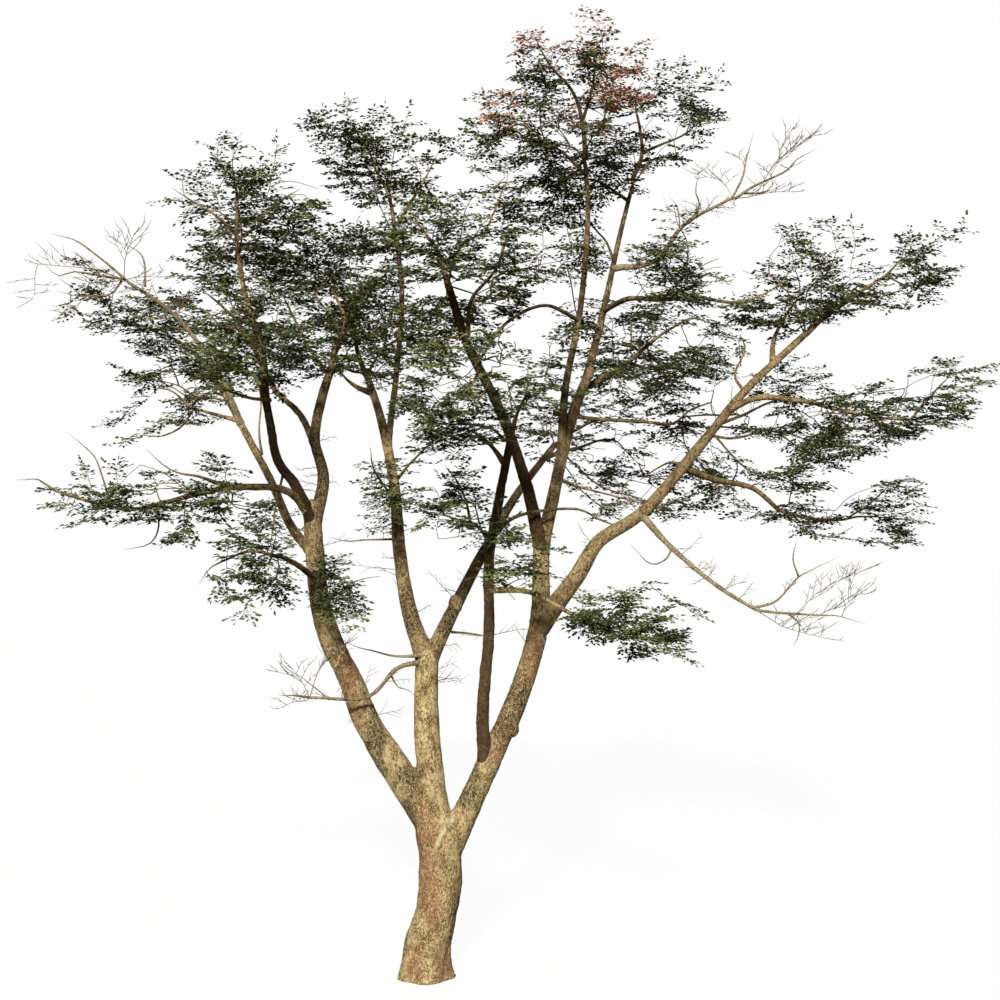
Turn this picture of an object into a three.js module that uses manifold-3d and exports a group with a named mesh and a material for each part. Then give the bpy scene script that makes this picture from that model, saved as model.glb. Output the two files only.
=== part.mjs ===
// Acacia tree, 12 m tall, with a forked trunk, open spreading limbs and flat sprays of small leaves.
// Millimetres, +Z up. The origin is the centre of the flat cut where the trunk meets the ground.
import * as THREE from "three";
import { mergeVertices } from "three/addons/utils/BufferGeometryUtils.js";
import Module from "manifold-3d";

const wasm = await Module();
wasm.setup();

// Driving dimensions of the whole tree
const JOINT_GAP = 0.3;
const POINT_GRID = 0.01;
const MERGE_DISTANCE = 0.001;
const BASE_RADIUS = 366;
const WAIST_RADIUS = 256;
const FORK_RADIUS = 272;
const FLARE_HEIGHT = 260;
const FORK_SWELL_START = 0.72;
const FORK_DOME_START = 0.88;
const FORK_DOME_DROP = 0.45;

// Limbs: rings of flat faces along a bent centre line
const RING_SPACING = 600;
const TRUNK_RING_SPACING = 190;
const STEM_SIDES = 8;
const BOUGH_SIDES = 6;
const THIN_SIDES = 5;
const THIN_ROOT = 60;
const LEAST_RINGS = 3;
const CURVE_TENSION = 0.5;
const CURVE_STEPS = 200;
const COLLAR_SHARE = 0.3;
const COLLAR_FADE = 12;
const TAPER_POWER = 0.85;

// Twigs: they branch from one stem, and their ends and bends carry flat sprays of leaves
const TIP_SPACING = 900;
const LEAST_TIPS = 3;
const INNER_EVERY = 4;
const INNER_REACH = 0.55;
const TIP_JITTER = 0.2;
const TWIG_SIDES = 3;
const TWIG_TIP = 11;
const TWIG_TAPER_RUN = 2400;
const ROOT_SINK = 9;
const STEM_TO_LIMB = 0.95;
const STEM_LIMIT = 36;
const DETOUR_WEIGHT = 0.35;
const JOINT_SHARE = 0.36;
const RISE_SHARE = 0.58;
const BEND_SHARE = 0.08;
const SHARPEST_TURN = -0.15;
const SPRAY_LENGTH = 1040;
const SPRAY_FILLS = 0.8;
const SPRAY_ASPECT = 0.56;
const SPRAY_THICKNESS = 20;
const TRIANGLE_HEIGHT = 1.5;
const SPRAY_WIDEST = 0.42;
const SPRAY_ROLL = 1.9;
const SIDE_SPRAY_LENGTH = 820;
const SIDE_LEAN = 0.5;
const SPACE_EDGE = 1.3;
const SPRAY_DROOP = 0.1;
const CLEARANCE = 3;
const LEAST_LEFT = 0.6;
const GOLDEN_ANGLE = Math.PI * (3 - Math.sqrt(5));
const NEARLY_LEVEL = 0.8;
const NEARLY_UPRIGHT = 0.05;

// The repeatable stream of numbers behind every twig
const SEED_FACTOR = 2654435761;
const STREAM_FACTOR = 1664525;
const STREAM_STEP = 1013904223;
const STREAM_RANGE = 2 ** 32;

// Every limb: its parent, its radius at the root and at the tip, and the bends it runs through.
// The first point lies on the parent, and the last is the tip.
const LIMBS = {
  trunk: { radii: [BASE_RADIUS, FORK_RADIUS], sides: 16,
    path: [[0, 0, -60], [30, 0, 400], [140, 0, 800], [190, 0, 1200], [180, 0, 1600], [110, 0, 2100]] },
  left_stem: { parent: "trunk", radii: [185, 100], sides: STEM_SIDES,
    path: [[60, 0, 1850], [-440, 0, 2700], [-730, -50, 3200], [-920, -100, 3700],
      [-1150, -200, 4200], [-1290, -250, 4700], [-1350, -300, 5350], [-1380, -350, 5900]] },
  middle_stem: { parent: "trunk", radii: [170, 140], sides: STEM_SIDES,
    path: [[60, 0, 1850], [40, 80, 2700], [0, 200, 3400], [10, 300, 4000]] },
  right_stem: { parent: "trunk", radii: [160, 98], sides: STEM_SIDES,
    path: [[240, 0, 1400], [510, 0, 2050], [800, -60, 2700], [1090, -100, 3330],
      [1310, -150, 3950], [1430, -200, 4520], [1440, -200, 5100], [1450, -200, 5600]] },
  left_upright: { parent: "left_stem", radii: [78, 50],
    path: [[-1370, -320, 5600], [-1250, -200, 6200], [-1380, 0, 6720], [-1310, 200, 7250],
      [-1170, 400, 7750]] },
  left_dark: { parent: "left_stem", radii: [72, 42],
    path: [[-1370, -320, 5650], [-1530, -600, 6100], [-1730, -800, 6420], [-1800, -1000, 6900],
      [-1850, -1300, 7350]] },
  left_outer: { parent: "left_stem", radii: [62, 42],
    path: [[-1360, -300, 5250], [-1690, 0, 5630], [-1930, 200, 6130], [-2230, 400, 6650],
      [-2570, 600, 7230]] },
  left_top_bough: { parent: "left_dark", radii: [42, 28],
    path: [[-1780, -900, 6700], [-1830, -1000, 7150], [-1890, -1000, 7750], [-2090, -900, 8330],
      [-2200, -800, 8880]] },
  left_dead_limb: { parent: "left_outer", radii: [40, 18],
    path: [[-2400, 500, 6900], [-2650, 300, 7580], [-3130, 0, 8250], [-3690, -300, 8660]] },
  left_low_bough: { parent: "left_stem", radii: [52, 40],
    path: [[-1370, -320, 5700], [-1650, -700, 6060], [-2300, -900, 6100]] },
  left_hanging_bough: { parent: "left_stem", radii: [44, 26],
    path: [[-1310, -280, 4950], [-1450, -900, 5150], [-1650, -1300, 5300]] },
  left_back_bough: { parent: "left_upright", radii: [48, 32],
    path: [[-1330, -100, 6450], [-1650, 800, 7030], [-2130, 1700, 7450], [-2500, 2400, 8020]] },
  middle_left_bough: { parent: "middle_stem", radii: [112, 45],
    path: [[10, 280, 3900], [-230, 500, 4530], [-370, 700, 5300], [-450, 900, 6150],
      [-650, 1300, 7010], [-900, 1900, 7670]] },
  middle_top_bough: { parent: "middle_left_bough", radii: [46, 30],
    path: [[-540, 1100, 6640], [-500, 1100, 7070], [-430, 1200, 7730], [-380, 1400, 8600],
      [-450, 1500, 9450]] },
  middle_right_bough: { parent: "middle_stem", radii: [98, 42],
    path: [[10, 280, 3850], [350, 600, 4560], [730, 1100, 5280], [1150, 1700, 6000], [1700, 2300, 6720]] },
  low_left_dead_limb: { parent: "middle_stem", radii: [36, 16],
    path: [[10, 280, 3900], [-350, 0, 3840], [-700, -400, 3530], [-1370, -600, 3550]] },
  dark_upright: { parent: "right_stem", radii: [84, 48],
    path: [[760, -60, 2600], [720, -300, 3350], [800, -500, 4350], [800, -700, 5200],
      [930, -1000, 6000], [1050, -1300, 6600]] },
  low_right_bough: { parent: "dark_upright", radii: [40, 24],
    path: [[800, -620, 4850], [1290, -1000, 4850], [1800, -1400, 4600]] },
  crossing_limb: { parent: "right_stem", radii: [80, 42],
    path: [[1450, -200, 5350], [1240, -500, 6190], [930, -900, 7020], [560, -1400, 7740],
      [350, -1900, 8370]] },
  right_leader: { parent: "right_stem", radii: [84, 60],
    path: [[1450, -200, 5350], [1590, -100, 5950], [1720, 0, 6550], [1870, 100, 7080], [2070, 150, 7580]] },
  top_left_limb: { parent: "right_leader", radii: [62, 30],
    path: [[1700, 0, 6450], [1740, -200, 7300], [1920, -300, 8280], [2010, -400, 9370],
      [1970, -500, 10050]] },
  top_right_limb: { parent: "right_leader", radii: [60, 30],
    path: [[2040, 150, 7480], [2260, 300, 8400], [2460, 500, 9290], [2640, 600, 10000]] },
  arching_limb: { parent: "top_left_limb", radii: [40, 26],
    path: [[1900, -300, 8150], [1470, -1000, 8250], [1020, -1900, 7950], [720, -2550, 7480]] },
  level_bough: { parent: "top_right_limb", radii: [38, 26],
    path: [[2250, 300, 8350], [2520, -300, 8420], [2830, -900, 8330]] },
  top_dead_limb: { parent: "top_right_limb", radii: [38, 18],
    path: [[2380, 420, 8900], [2900, 300, 8980], [3260, 100, 9410], [3820, -200, 9690]] },
  inner_right_bough: { parent: "right_leader", radii: [44, 30],
    path: [[1990, 130, 7350], [2400, 900, 7600], [2850, 1800, 7950]] },
  right_bough: { parent: "right_stem", radii: [112, 40],
    path: [[1430, -200, 4350], [1880, -300, 5010], [2160, -300, 5440], [2720, -300, 5820],
      [3400, -200, 6600], [4000, 0, 7310], [4780, 200, 8030]] },
  right_mid_bough: { parent: "right_bough", radii: [44, 30],
    path: [[3780, -60, 7050], [4120, -400, 7200], [4640, -800, 7120]] },
  right_low_bough: { parent: "right_bough", radii: [46, 28],
    path: [[3200, -230, 6350], [3650, 200, 6200], [4200, 700, 6100], [4600, 1000, 5810]] },
  right_dead_limb: { parent: "right_bough", radii: [42, 18],
    path: [[2650, -300, 5780], [3010, -700, 5360], [3490, -1000, 4940], [3940, -1200, 4650]] },
  back_right_bough: { parent: "right_bough", radii: [44, 30],
    path: [[2950, -270, 6080], [3400, 800, 6530], [3880, 1900, 6970]] },
};

// Every mass of twigs: the limb it grows from, and its space as blobs, each a centre and half sizes.
// A mass with a root starts there, on the side of its limb, and any other starts at the limb's tip.
const MASSES = {
  centre_left_leaves: { limb: "left_upright",
    space: [[[-1200, 600, 8450], [750, 1150, 620]], [[-1600, 400, 9050], [650, 1000, 520]]] },
  left_front_leaves: { limb: "left_dark",
    space: [[[-1750, -2000, 7950], [680, 1200, 600]], [[-2150, -2700, 7400], [650, 1000, 450]]] },
  left_outer_leaves: { limb: "left_outer",
    space: [[[-3100, 1000, 7700], [1000, 1200, 620]], [[-3550, 700, 6950], [700, 900, 420]]] },
  left_top_leaves: { limb: "left_top_bough",
    space: [[[-2300, -800, 9600], [800, 1150, 750]], [[-1700, -200, 9450], [550, 800, 480]]] },
  left_dead_twigs: { limb: "left_dead_limb", bare: true,
    space: [[[-4050, -500, 8850], [750, 600, 480]], [[-3900, -500, 8400], [900, 700, 420]]] },
  left_low_leaves: { limb: "left_low_bough",
    space: [[[-2800, -1100, 6050], [750, 950, 480]], [[-3900, -1300, 6000], [1050, 950, 520]]] },
  left_hanging_leaves: { limb: "left_hanging_bough",
    space: [[[-1850, -1800, 5450], [550, 850, 480]], [[-2150, -1900, 4950], [550, 850, 400]]] },
  left_stem_leaves: { limb: "left_stem", root: [-1270, -280, 4650],
    space: [[[-850, -900, 4750], [480, 600, 430]]] },
  left_back_leaves: { limb: "left_back_bough",
    space: [[[-2950, 3150, 8700], [1100, 1200, 850]], [[-3550, 2300, 8800], [750, 900, 650]]] },
  middle_left_leaves: { limb: "middle_left_bough",
    space: [[[-1150, 3000, 8800], [950, 1200, 900]]] },
  upper_lobe_leaves: { limb: "middle_top_bough",
    space: [[[-950, 1450, 10550], [850, 1150, 750]], [[-100, 1700, 10400], [750, 1050, 650]]] },
  middle_front_leaves: { limb: "middle_left_bough", root: [-450, 850, 5950],
    space: [[[-500, 50, 6000], [460, 700, 620]]] },
  low_left_dead_twigs: { limb: "low_left_dead_limb", bare: true,
    space: [[[-1450, -600, 3850], [700, 500, 520]]] },
  back_centre_leaves: { limb: "middle_right_bough",
    space: [[[2250, 3350, 6950], [950, 1100, 750]], [[2950, 3100, 6300], [850, 950, 500]]] },
  centre_front_leaves: { limb: "dark_upright",
    space: [[[1150, -1900, 7150], [600, 950, 520]], [[400, -1900, 6850], [600, 850, 480]]] },
  dark_upright_leaves: { limb: "dark_upright", root: [800, -680, 5100],
    space: [[[400, -1350, 5650], [650, 750, 480]], [[1150, -1450, 5100], [550, 700, 420]]] },
  low_right_leaves: { limb: "low_right_bough",
    space: [[[2200, -1700, 4700], [600, 850, 440]], [[2800, -1700, 4400], [550, 750, 340]]] },
  crossing_leaves: { limb: "crossing_limb",
    space: [[[200, -2300, 8900], [620, 1100, 650]], [[950, -2300, 8700], [620, 1050, 720]]] },
  top_left_leaves: { limb: "top_left_limb",
    space: [[[1300, -800, 10750], [850, 1300, 1030]], [[2150, -400, 11020], [700, 1200, 1020]]] },
  top_right_leaves: { limb: "top_right_limb",
    space: [[[3250, 800, 10850], [850, 1300, 850]], [[2650, 1000, 10400], [700, 1150, 700]]] },
  top_dead_twigs: { limb: "top_dead_limb", bare: true,
    space: [[[4100, -300, 10050], [1000, 750, 620]]] },
  arching_leaves: { limb: "arching_limb",
    space: [[[450, -3150, 7150], [650, 1000, 480]], [[950, -3150, 7550], [520, 900, 400]]] },
  level_leaves: { limb: "level_bough",
    space: [[[2950, -1800, 8400], [700, 1100, 480]], [[2550, -1600, 8950], [520, 900, 420]]] },
  inner_right_leaves: { limb: "inner_right_bough",
    space: [[[3400, 2600, 8050], [1050, 1200, 600]], [[2650, 2800, 8500], [720, 950, 560]]] },
  right_top_leaves: { limb: "right_bough",
    space: [[[4900, 400, 8900], [850, 1150, 780]], [[5700, 200, 8600], [700, 950, 480]],
      [[6200, 0, 8950], [600, 850, 520]]] },
  right_mid_leaves: { limb: "right_mid_bough",
    space: [[[5200, -1050, 6950], [850, 1100, 500]], [[6300, -850, 7200], [700, 850, 560]]] },
  right_low_leaves: { limb: "right_low_bough",
    space: [[[5200, 1250, 5750], [800, 950, 440]], [[6000, 1100, 5800], [650, 850, 580]]] },
  right_dead_twigs: { limb: "right_dead_limb", bare: true,
    space: [[[4600, -1300, 4750], [950, 650, 560]]] },
  back_right_leaves: { limb: "back_right_bough",
    space: [[[4800, 2800, 7350], [1050, 1150, 720]], [[5450, 2300, 6850], [750, 900, 540]]] },
};

const barkLight = new THREE.MeshStandardMaterial({ color: 0xbda878, roughness: 0.85, metalness: 0 });
const barkDark = new THREE.MeshStandardMaterial({ color: 0x6b5334, roughness: 0.88, metalness: 0 });
const barkDead = new THREE.MeshStandardMaterial({ color: 0xcdbd93, roughness: 0.88, metalness: 0 });
const leafGreen = new THREE.MeshStandardMaterial({ color: 0x3a4a30, roughness: 0.62, metalness: 0 });
const leafReddish = new THREE.MeshStandardMaterial({ color: 0xa2694f, roughness: 0.62, metalness: 0 });

// A repeatable stream of numbers from 0 to 1
function seededRandom(seed) {
  let state = (seed * SEED_FACTOR) >>> 0;
  return () => {
    state = (Math.imul(state, STREAM_FACTOR) + STREAM_STEP) >>> 0;
    return state / STREAM_RANGE;
  };
}

function vector(point) {
  return new THREE.Vector3(...point);
}

// The closed solid of a geometry whose faces all point out
function solidOf(geometry) {
  const bare = geometry.clone();
  bare.deleteAttribute("normal");
  bare.deleteAttribute("uv");
  const merged = mergeVertices(bare, MERGE_DISTANCE);
  return new wasm.Manifold(new wasm.Mesh({
    numProp: 3,
    vertProperties: new Float32Array(merged.attributes.position.array),
    triVerts: new Uint32Array(merged.index.array),
  }));
}

// The faces of a solid, with its points on a fine grid and the faces that close up there left out
function geometryOf(solid) {
  const mesh = solid.getMesh();
  const onGrid = (value) => Math.round(value / POINT_GRID) * POINT_GRID;
  const points = Float32Array.from(mesh.vertProperties, onGrid);
  const loose = new THREE.BufferGeometry();
  loose.setAttribute("position", new THREE.BufferAttribute(points, 3));
  loose.setIndex(new THREE.BufferAttribute(new Uint32Array(mesh.triVerts), 1));
  const geometry = mergeVertices(loose, MERGE_DISTANCE);
  const corners = geometry.index.array;
  const kept = [];
  for (let i = 0; i < corners.length; i += 3) {
    const [a, b, c] = corners.slice(i, i + 3);
    if (a !== b && b !== c && c !== a) {
      kept.push(a, b, c);
    }
  }
  geometry.setIndex(kept);
  return geometry;
}

// True where every edge of the solid has just two faces
function isClean(solid) {
  const geometry = geometryOf(solid);
  const corners = geometry.index.array;
  const uses = new Map();
  for (let i = 0; i < corners.length; i += 3) {
    for (let side = 0; side < 3; side += 1) {
      const ends = [corners[i + side], corners[i + ((side + 1) % 3)]];
      const edge = Math.min(...ends) * geometry.attributes.position.count + Math.max(...ends);
      uses.set(edge, (uses.get(edge) ?? 0) + 1);
    }
  }
  return [...uses.values()].every((count) => count === 2);
}

// The largest piece of a solid, without the scraps that a cut leaves
function largestPiece(solid) {
  const pieces = solid.decompose();
  return pieces.reduce((best, piece) => (piece.volume() > best.volume() ? piece : best));
}

// A fused solid as one piece, also once points that nearly meet are merged
function onePiece(solid) {
  return largestPiece(solidOf(geometryOf(largestPiece(solid))));
}

// A bar of flat faces through stations along a line, each with a place, a direction and half sizes.
// The frame is carried from the last station to the first, so the bar never twists.
function loft(stations, sides, pointed, lastAcross) {
  const steps = stations.length - 1;
  const bar = new THREE.CylinderGeometry(pointed ? 0 : 1, 1, steps, sides, steps);
  const frames = [];
  let across = lastAcross.clone();
  for (let i = steps; i >= 0; i -= 1) {
    const { along } = stations[i];
    if (i < steps) {
      across.applyQuaternion(new THREE.Quaternion().setFromUnitVectors(stations[i + 1].along, along));
    }
    across.addScaledVector(along, -across.dot(along)).normalize();
    frames[i] = { across: across.clone(), third: new THREE.Vector3().crossVectors(across, along) };
  }
  const place = bar.attributes.position;
  for (let i = 0; i < place.count; i += 1) {
    const index = Math.round(place.getY(i) + steps / 2);
    const { place: centre, wide, high } = stations[index];
    const radius = Math.hypot(place.getX(i), place.getZ(i)) || 1;
    const spot = centre.clone().addScaledVector(frames[index].across, (place.getX(i) / radius) * wide);
    spot.addScaledVector(frames[index].third, (place.getZ(i) / radius) * high);
    place.setXYZ(i, spot.x, spot.y, spot.z);
  }
  return solidOf(bar);
}

// A round limb along its curve, with extra added to its radius all round
function limbSolid(curve, radiusAt, sides, rings, extra) {
  const stations = [];
  for (let i = 0; i <= rings; i += 1) {
    const radius = radiusAt(i / rings) + extra;
    stations.push({ place: curve.getPoint(i / rings), along: curve.getTangent(i / rings),
      wide: radius, high: radius });
  }
  stations[0].place.addScaledVector(stations[0].along, -extra);
  stations.at(-1).place.addScaledVector(stations.at(-1).along, extra);
  return loft(stations, sides, false, perpendicularTo(stations.at(-1).along));
}

function perpendicularTo(along) {
  const turned = Math.abs(along.x) < NEARLY_LEVEL;
  const reference = turned ? new THREE.Vector3(1, 0, 0) : new THREE.Vector3(0, 1, 0);
  return reference.addScaledVector(along, -reference.dot(along)).normalize();
}

// The trunk's radius: root flare at the ground, a waist, and a rounded swelling under the fork
function trunkRadius(share) {
  const height = share * LIMBS.trunk.path.at(-1)[2];
  const flare = (BASE_RADIUS - WAIST_RADIUS) * Math.exp(-height / FLARE_HEIGHT);
  const swell = Math.max(0, share - FORK_SWELL_START) / (1 - FORK_SWELL_START);
  const dome = Math.max(0, share - FORK_DOME_START) / (1 - FORK_DOME_START);
  const full = WAIST_RADIUS + flare + (FORK_RADIUS - WAIST_RADIUS) * swell;
  return full * (1 - FORK_DOME_DROP * dome * dome);
}

// A limb's radius: an even taper, with a thicker collar where it leaves its parent
function limbRadius(share, [root, tip]) {
  const collar = 1 + COLLAR_SHARE * Math.exp(-share * COLLAR_FADE);
  return THREE.MathUtils.lerp(root, tip, share ** TAPER_POWER) * collar;
}

function nearestPoint(curve, point) {
  const steps = curve.getPoints(CURVE_STEPS);
  return steps.reduce((best, step) => (step.distanceTo(point) < best.distanceTo(point) ? step : best));
}

// Works out a limb's centre line, its solid, and the slightly larger solid that others are cut by
function makeLimb(name, limb, limbs) {
  const points = limb.path.map(vector);
  if (limb.parent) {
    points[0] = nearestPoint(limbs[limb.parent].curve, points[0]);
  }
  const curve = new THREE.CatmullRomCurve3(points, false, "catmullrom", CURVE_TENSION);
  const spacing = limb.parent ? RING_SPACING : TRUNK_RING_SPACING;
  const rings = Math.max(LEAST_RINGS, Math.round(curve.getLength() / spacing));
  const sides = limb.sides ?? (limb.radii[0] > THIN_ROOT ? BOUGH_SIDES : THIN_SIDES);
  const radiusAt = name === "trunk" ? trunkRadius : (share) => limbRadius(share, limb.radii);
  const shell = JOINT_GAP / Math.cos(Math.PI / sides);
  let solid = limbSolid(curve, radiusAt, sides, rings, 0);
  const grown = limbSolid(curve, radiusAt, sides, rings, shell);
  for (const [otherName, other] of Object.entries(limbs)) {
    const sibling = limb.parent && limb.parent === LIMBS[otherName].parent;
    if (otherName === limb.parent || sibling) {
      solid = solid.subtract(other.grown);
    }
  }
  if (!limb.parent) {
    solid = solid.subtract(belowGround());
  }
  solid = onePiece(solid);
  return { curve, radiusAt, solid, grown };
}

// Everything under the level ground, which cuts the trunk's foot flat
function belowGround() {
  const depth = 4 * BASE_RADIUS;
  return solidOf(new THREE.BoxGeometry(depth, depth, depth).translate(0, 0, -depth / 2));
}

// Points spread evenly over the mass's space: most on its outside and every fourth one within
function evenPoints(space, random) {
  const points = [];
  for (const [centre, half] of space) {
    const faces = half[0] * half[1] + half[1] * half[2] + half[2] * half[0];
    const count = Math.max(LEAST_TIPS, Math.round(faces / TIP_SPACING ** 2));
    for (let i = 0; i < count; i += 1) {
      const height = 1 - (2 * i + 1) / count;
      const level = Math.sqrt(1 - height * height);
      const turn = i * GOLDEN_ANGLE + (random() - 0.5) * TIP_JITTER * 2 * Math.PI;
      const out = i % INNER_EVERY === INNER_EVERY - 1 ? INNER_REACH : 1;
      points.push(new THREE.Vector3(
        centre[0] + half[0] * out * level * Math.cos(turn),
        centre[1] + half[1] * out * level * Math.sin(turn),
        centre[2] + half[2] * out * height,
      ));
    }
  }
  return points;
}

function insideSpace(space, point) {
  return space.some(([centre, half]) => {
    const away = [point.x, point.y, point.z].map((value, axis) => (value - centre[axis]) / half[axis]);
    return away[0] ** 2 + away[1] ** 2 + away[2] ** 2 < SPACE_EDGE;
  });
}

// Twigs branch from one stem: each new tip joins the nearest earlier node, counting part of the
// way that the sap has already run, so that long stems form first and short twigs fill the space.
// A twig that fits turns down is left out, and one that carries another at its end bears no spray.
function growTwigs(space, start, heading, random, fits) {
  const nodes = [{ place: start, heading, run: 0, parent: null }];
  const twigs = [];
  const tips = evenPoints(space, random);
  tips.sort((one, other) => one.distanceTo(start) - other.distanceTo(start));
  for (const tip of tips) {
    const costTo = (node) => {
      const step = tip.clone().sub(node.place);
      const length = step.length();
      const turn = step.dot(node.heading) / length;
      return length + DETOUR_WEIGHT * node.run + (turn < SHARPEST_TURN ? length : 0);
    };
    const from = nodes.reduce((best, node) => (costTo(node) < costTo(best) ? node : best));
    const length = from.place.distanceTo(tip);
    const bend = from.place.clone().lerp(tip, JOINT_SHARE);
    bend.addScaledVector(from.heading, length * BEND_SHARE);
    bend.z += (RISE_SHARE - JOINT_SHARE) * (tip.z - from.place.z);
    const out = tip.clone().sub(bend).normalize();
    const twig = { from, fertile: true };
    twig.joint = { place: bend, heading: out, run: from.run + length * JOINT_SHARE, parent: twig };
    twig.end = { place: tip, heading: out, run: from.run + length, parent: twig };
    twig.roll = (random() - 0.5) * SPRAY_ROLL;
    if (fits(twig)) {
      if (from.parent && from.parent.end === from) {
        from.parent.fertile = false;
      }
      nodes.push(twig.joint, twig.end);
      twigs.push(twig);
    }
  }
  return twigs;
}

// A direction across a spray: level, then rolled a little about the spray's own line
function acrossSpray(out, roll) {
  const across = new THREE.Vector3(out.y, -out.x, 0);
  const level = across.length() < NEARLY_UPRIGHT ? perpendicularTo(out) : across.normalize();
  return level.applyAxisAngle(out, roll);
}

// A three-sided twig from node to tip. A fertile one widens at its end into a flat pointed spray.
function twigSolid({ from, joint, end, roll }, stemRadius, fertile) {
  const root = from.place.clone().addScaledVector(from.heading, -ROOT_SINK);
  const bends = [root, joint.place, end.place];
  const curve = new THREE.CatmullRomCurve3(bends, false, "catmullrom", CURVE_TENSION);
  const length = end.run - from.run;
  const station = (share, wide, high) => {
    const turn = share < JOINT_SHARE ? share / JOINT_SHARE / 2 : 1 - (1 - share) / (1 - JOINT_SHARE) / 2;
    const spent = Math.min(1, (from.run + share * length) / TWIG_TAPER_RUN);
    const radius = THREE.MathUtils.lerp(stemRadius, TWIG_TIP, spent);
    const [place, along] = [curve.getPoint(turn), curve.getTangent(turn)];
    return { place, along, wide: wide ?? radius, high: high ?? radius };
  };
  const stations = [station(0), station(JOINT_SHARE)];
  if (fertile) {
    const spray = Math.min(SPRAY_LENGTH / length, 1 - JOINT_SHARE);
    if (spray < (1 - JOINT_SHARE) * SPRAY_FILLS) {
      stations.push(station(1 - spray));
    }
    const half = spray * length * SPRAY_ASPECT / 2;
    stations.push(station(1 - spray * (1 - SPRAY_WIDEST), half, SPRAY_THICKNESS / TRIANGLE_HEIGHT));
  }
  stations.push(station(1));
  return loft(stations, TWIG_SIDES, fertile, acrossSpray(end.heading, roll));
}

// A flat side spray: an eight-faced blade, widest near its root, with drooping sides
function spraySolid(root, out, length, roll) {
  const blade = new THREE.OctahedronGeometry(1, 0);
  const place = blade.attributes.position;
  const across = acrossSpray(out, roll);
  const up = new THREE.Vector3().crossVectors(across, out);
  for (let i = 0; i < place.count; i += 1) {
    const onEnd = Math.round(place.getX(i)) !== 0;
    const along = onEnd ? (place.getX(i) + 1) / 2 : SPRAY_WIDEST;
    const sideways = place.getY(i) * length * SPRAY_ASPECT / 2;
    const droop = (Math.abs(sideways) + along * length) * SPRAY_DROOP;
    const spot = root.clone().addScaledVector(out, along * length).addScaledVector(across, -sideways);
    spot.addScaledVector(up, place.getZ(i) * SPRAY_THICKNESS / 2 - droop);
    place.setXYZ(i, spot.x, spot.y, spot.z);
  }
  return solidOf(blade);
}

function touches(solid, others) {
  return others.some((other) => boxesNear(solid, other) && solid.minGap(other, CLEARANCE) < CLEARANCE);
}

function boxesNear(one, other) {
  const a = one.boundingBox();
  const b = other.boundingBox();
  const near = (axis) => a.min[axis] - CLEARANCE < b.max[axis] && b.min[axis] - CLEARANCE < a.max[axis];
  return [0, 1, 2].every(near);
}

// One mass: twigs and sprays fused into a solid that touches no limb and no other mass
function makeMass(mass, seed, limbs, masses) {
  const random = seededRandom(seed);
  const limb = limbs[mass.limb];
  let start = limb.curve.getPoint(1);
  let heading = limb.curve.getTangent(1);
  if (mass.root) {
    start = nearestPoint(limb.curve, vector(mass.root));
    heading = vector(mass.space[0][0]).sub(start).normalize();
  }
  const otherLimbs = Object.values(limbs).filter((one) => one !== limb);
  const others = [...otherLimbs.map((one) => one.solid), ...masses];
  const stemRadius = Math.min(limb.radiusAt(1) * STEM_TO_LIMB, STEM_LIMIT);
  const crossed = [...others, limb.solid];
  // The twig cut clear of the limb it starts on, or null where it would touch anything else
  const freeTwig = (twig, fertile) => {
    const whole = twigSolid(twig, stemRadius, fertile);
    const onLimb = twig.from.parent === null;
    const piece = onLimb ? largestPiece(whole.subtract(limb.grown)) : whole;
    const lost = piece.volume() < whole.volume() * LEAST_LEFT;
    return lost || touches(piece, onLimb ? others : crossed) ? null : piece;
  };
  const twigs = growTwigs(mass.space, start, heading, random, (twig) => freeTwig(twig, false) !== null);
  let solid = null;
  const join = (piece) => {
    const joined = solid && piece ? solid.add(piece) : piece;
    if (joined === null || !isClean(joined)) {
      return false;
    }
    solid = joined;
    return true;
  };
  for (const twig of twigs) {
    const bearing = twig.fertile && !mass.bare;
    if (!(bearing && join(freeTwig(twig, true)))) {
      join(freeTwig(twig, false));
    }
    for (const side of mass.bare ? [] : [-1, 1]) {
      const along = twig.end.place.clone().sub(twig.from.place).normalize();
      const out = new THREE.Vector3(-along.y * side, along.x * side, 0).normalize();
      out.addScaledVector(along, SIDE_LEAN + random()).normalize();
      const root = twig.joint.place.clone().addScaledVector(out, -ROOT_SINK);
      const spray = spraySolid(root, out, SIDE_SPRAY_LENGTH, twig.roll * side);
      const tip = twig.joint.place.clone().addScaledVector(out, SIDE_SPRAY_LENGTH);
      if (insideSpace(mass.space, tip) && !touches(spray, crossed)) {
        join(spray);
      }
    }
  }
  return onePiece(solid);
}

function namedMesh(name, solid, material) {
  const geometry = geometryOf(solid);
  geometry.computeVertexNormals();
  const mesh = new THREE.Mesh(geometry, material.clone());
  mesh.name = name;
  return mesh;
}

function limbMaterial(name) {
  if (name.includes("dead")) {
    return barkDead;
  }
  return name.includes("dark") || name.includes("crossing") ? barkDark : barkLight;
}

function massMaterial(name) {
  if (name.includes("dead")) {
    return barkDead;
  }
  return name === "top_left_leaves" ? leafReddish : leafGreen;
}

const tree = new THREE.Group();
const limbs = {};
for (const [name, limb] of Object.entries(LIMBS)) {
  limbs[name] = makeLimb(name, limb, limbs);
  tree.add(namedMesh(name, limbs[name].solid, limbMaterial(name)));
}
const masses = [];
for (const [index, [name, mass]] of Object.entries(MASSES).entries()) {
  const solid = makeMass(mass, index + 1, limbs, masses);
  masses.push(solid);
  tree.add(namedMesh(name, solid, massMaterial(name)));
}

export default tree;
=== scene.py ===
"""Acacia tree: bark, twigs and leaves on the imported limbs. Metres, +Z up, origin at the trunk's foot."""
import math

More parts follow.
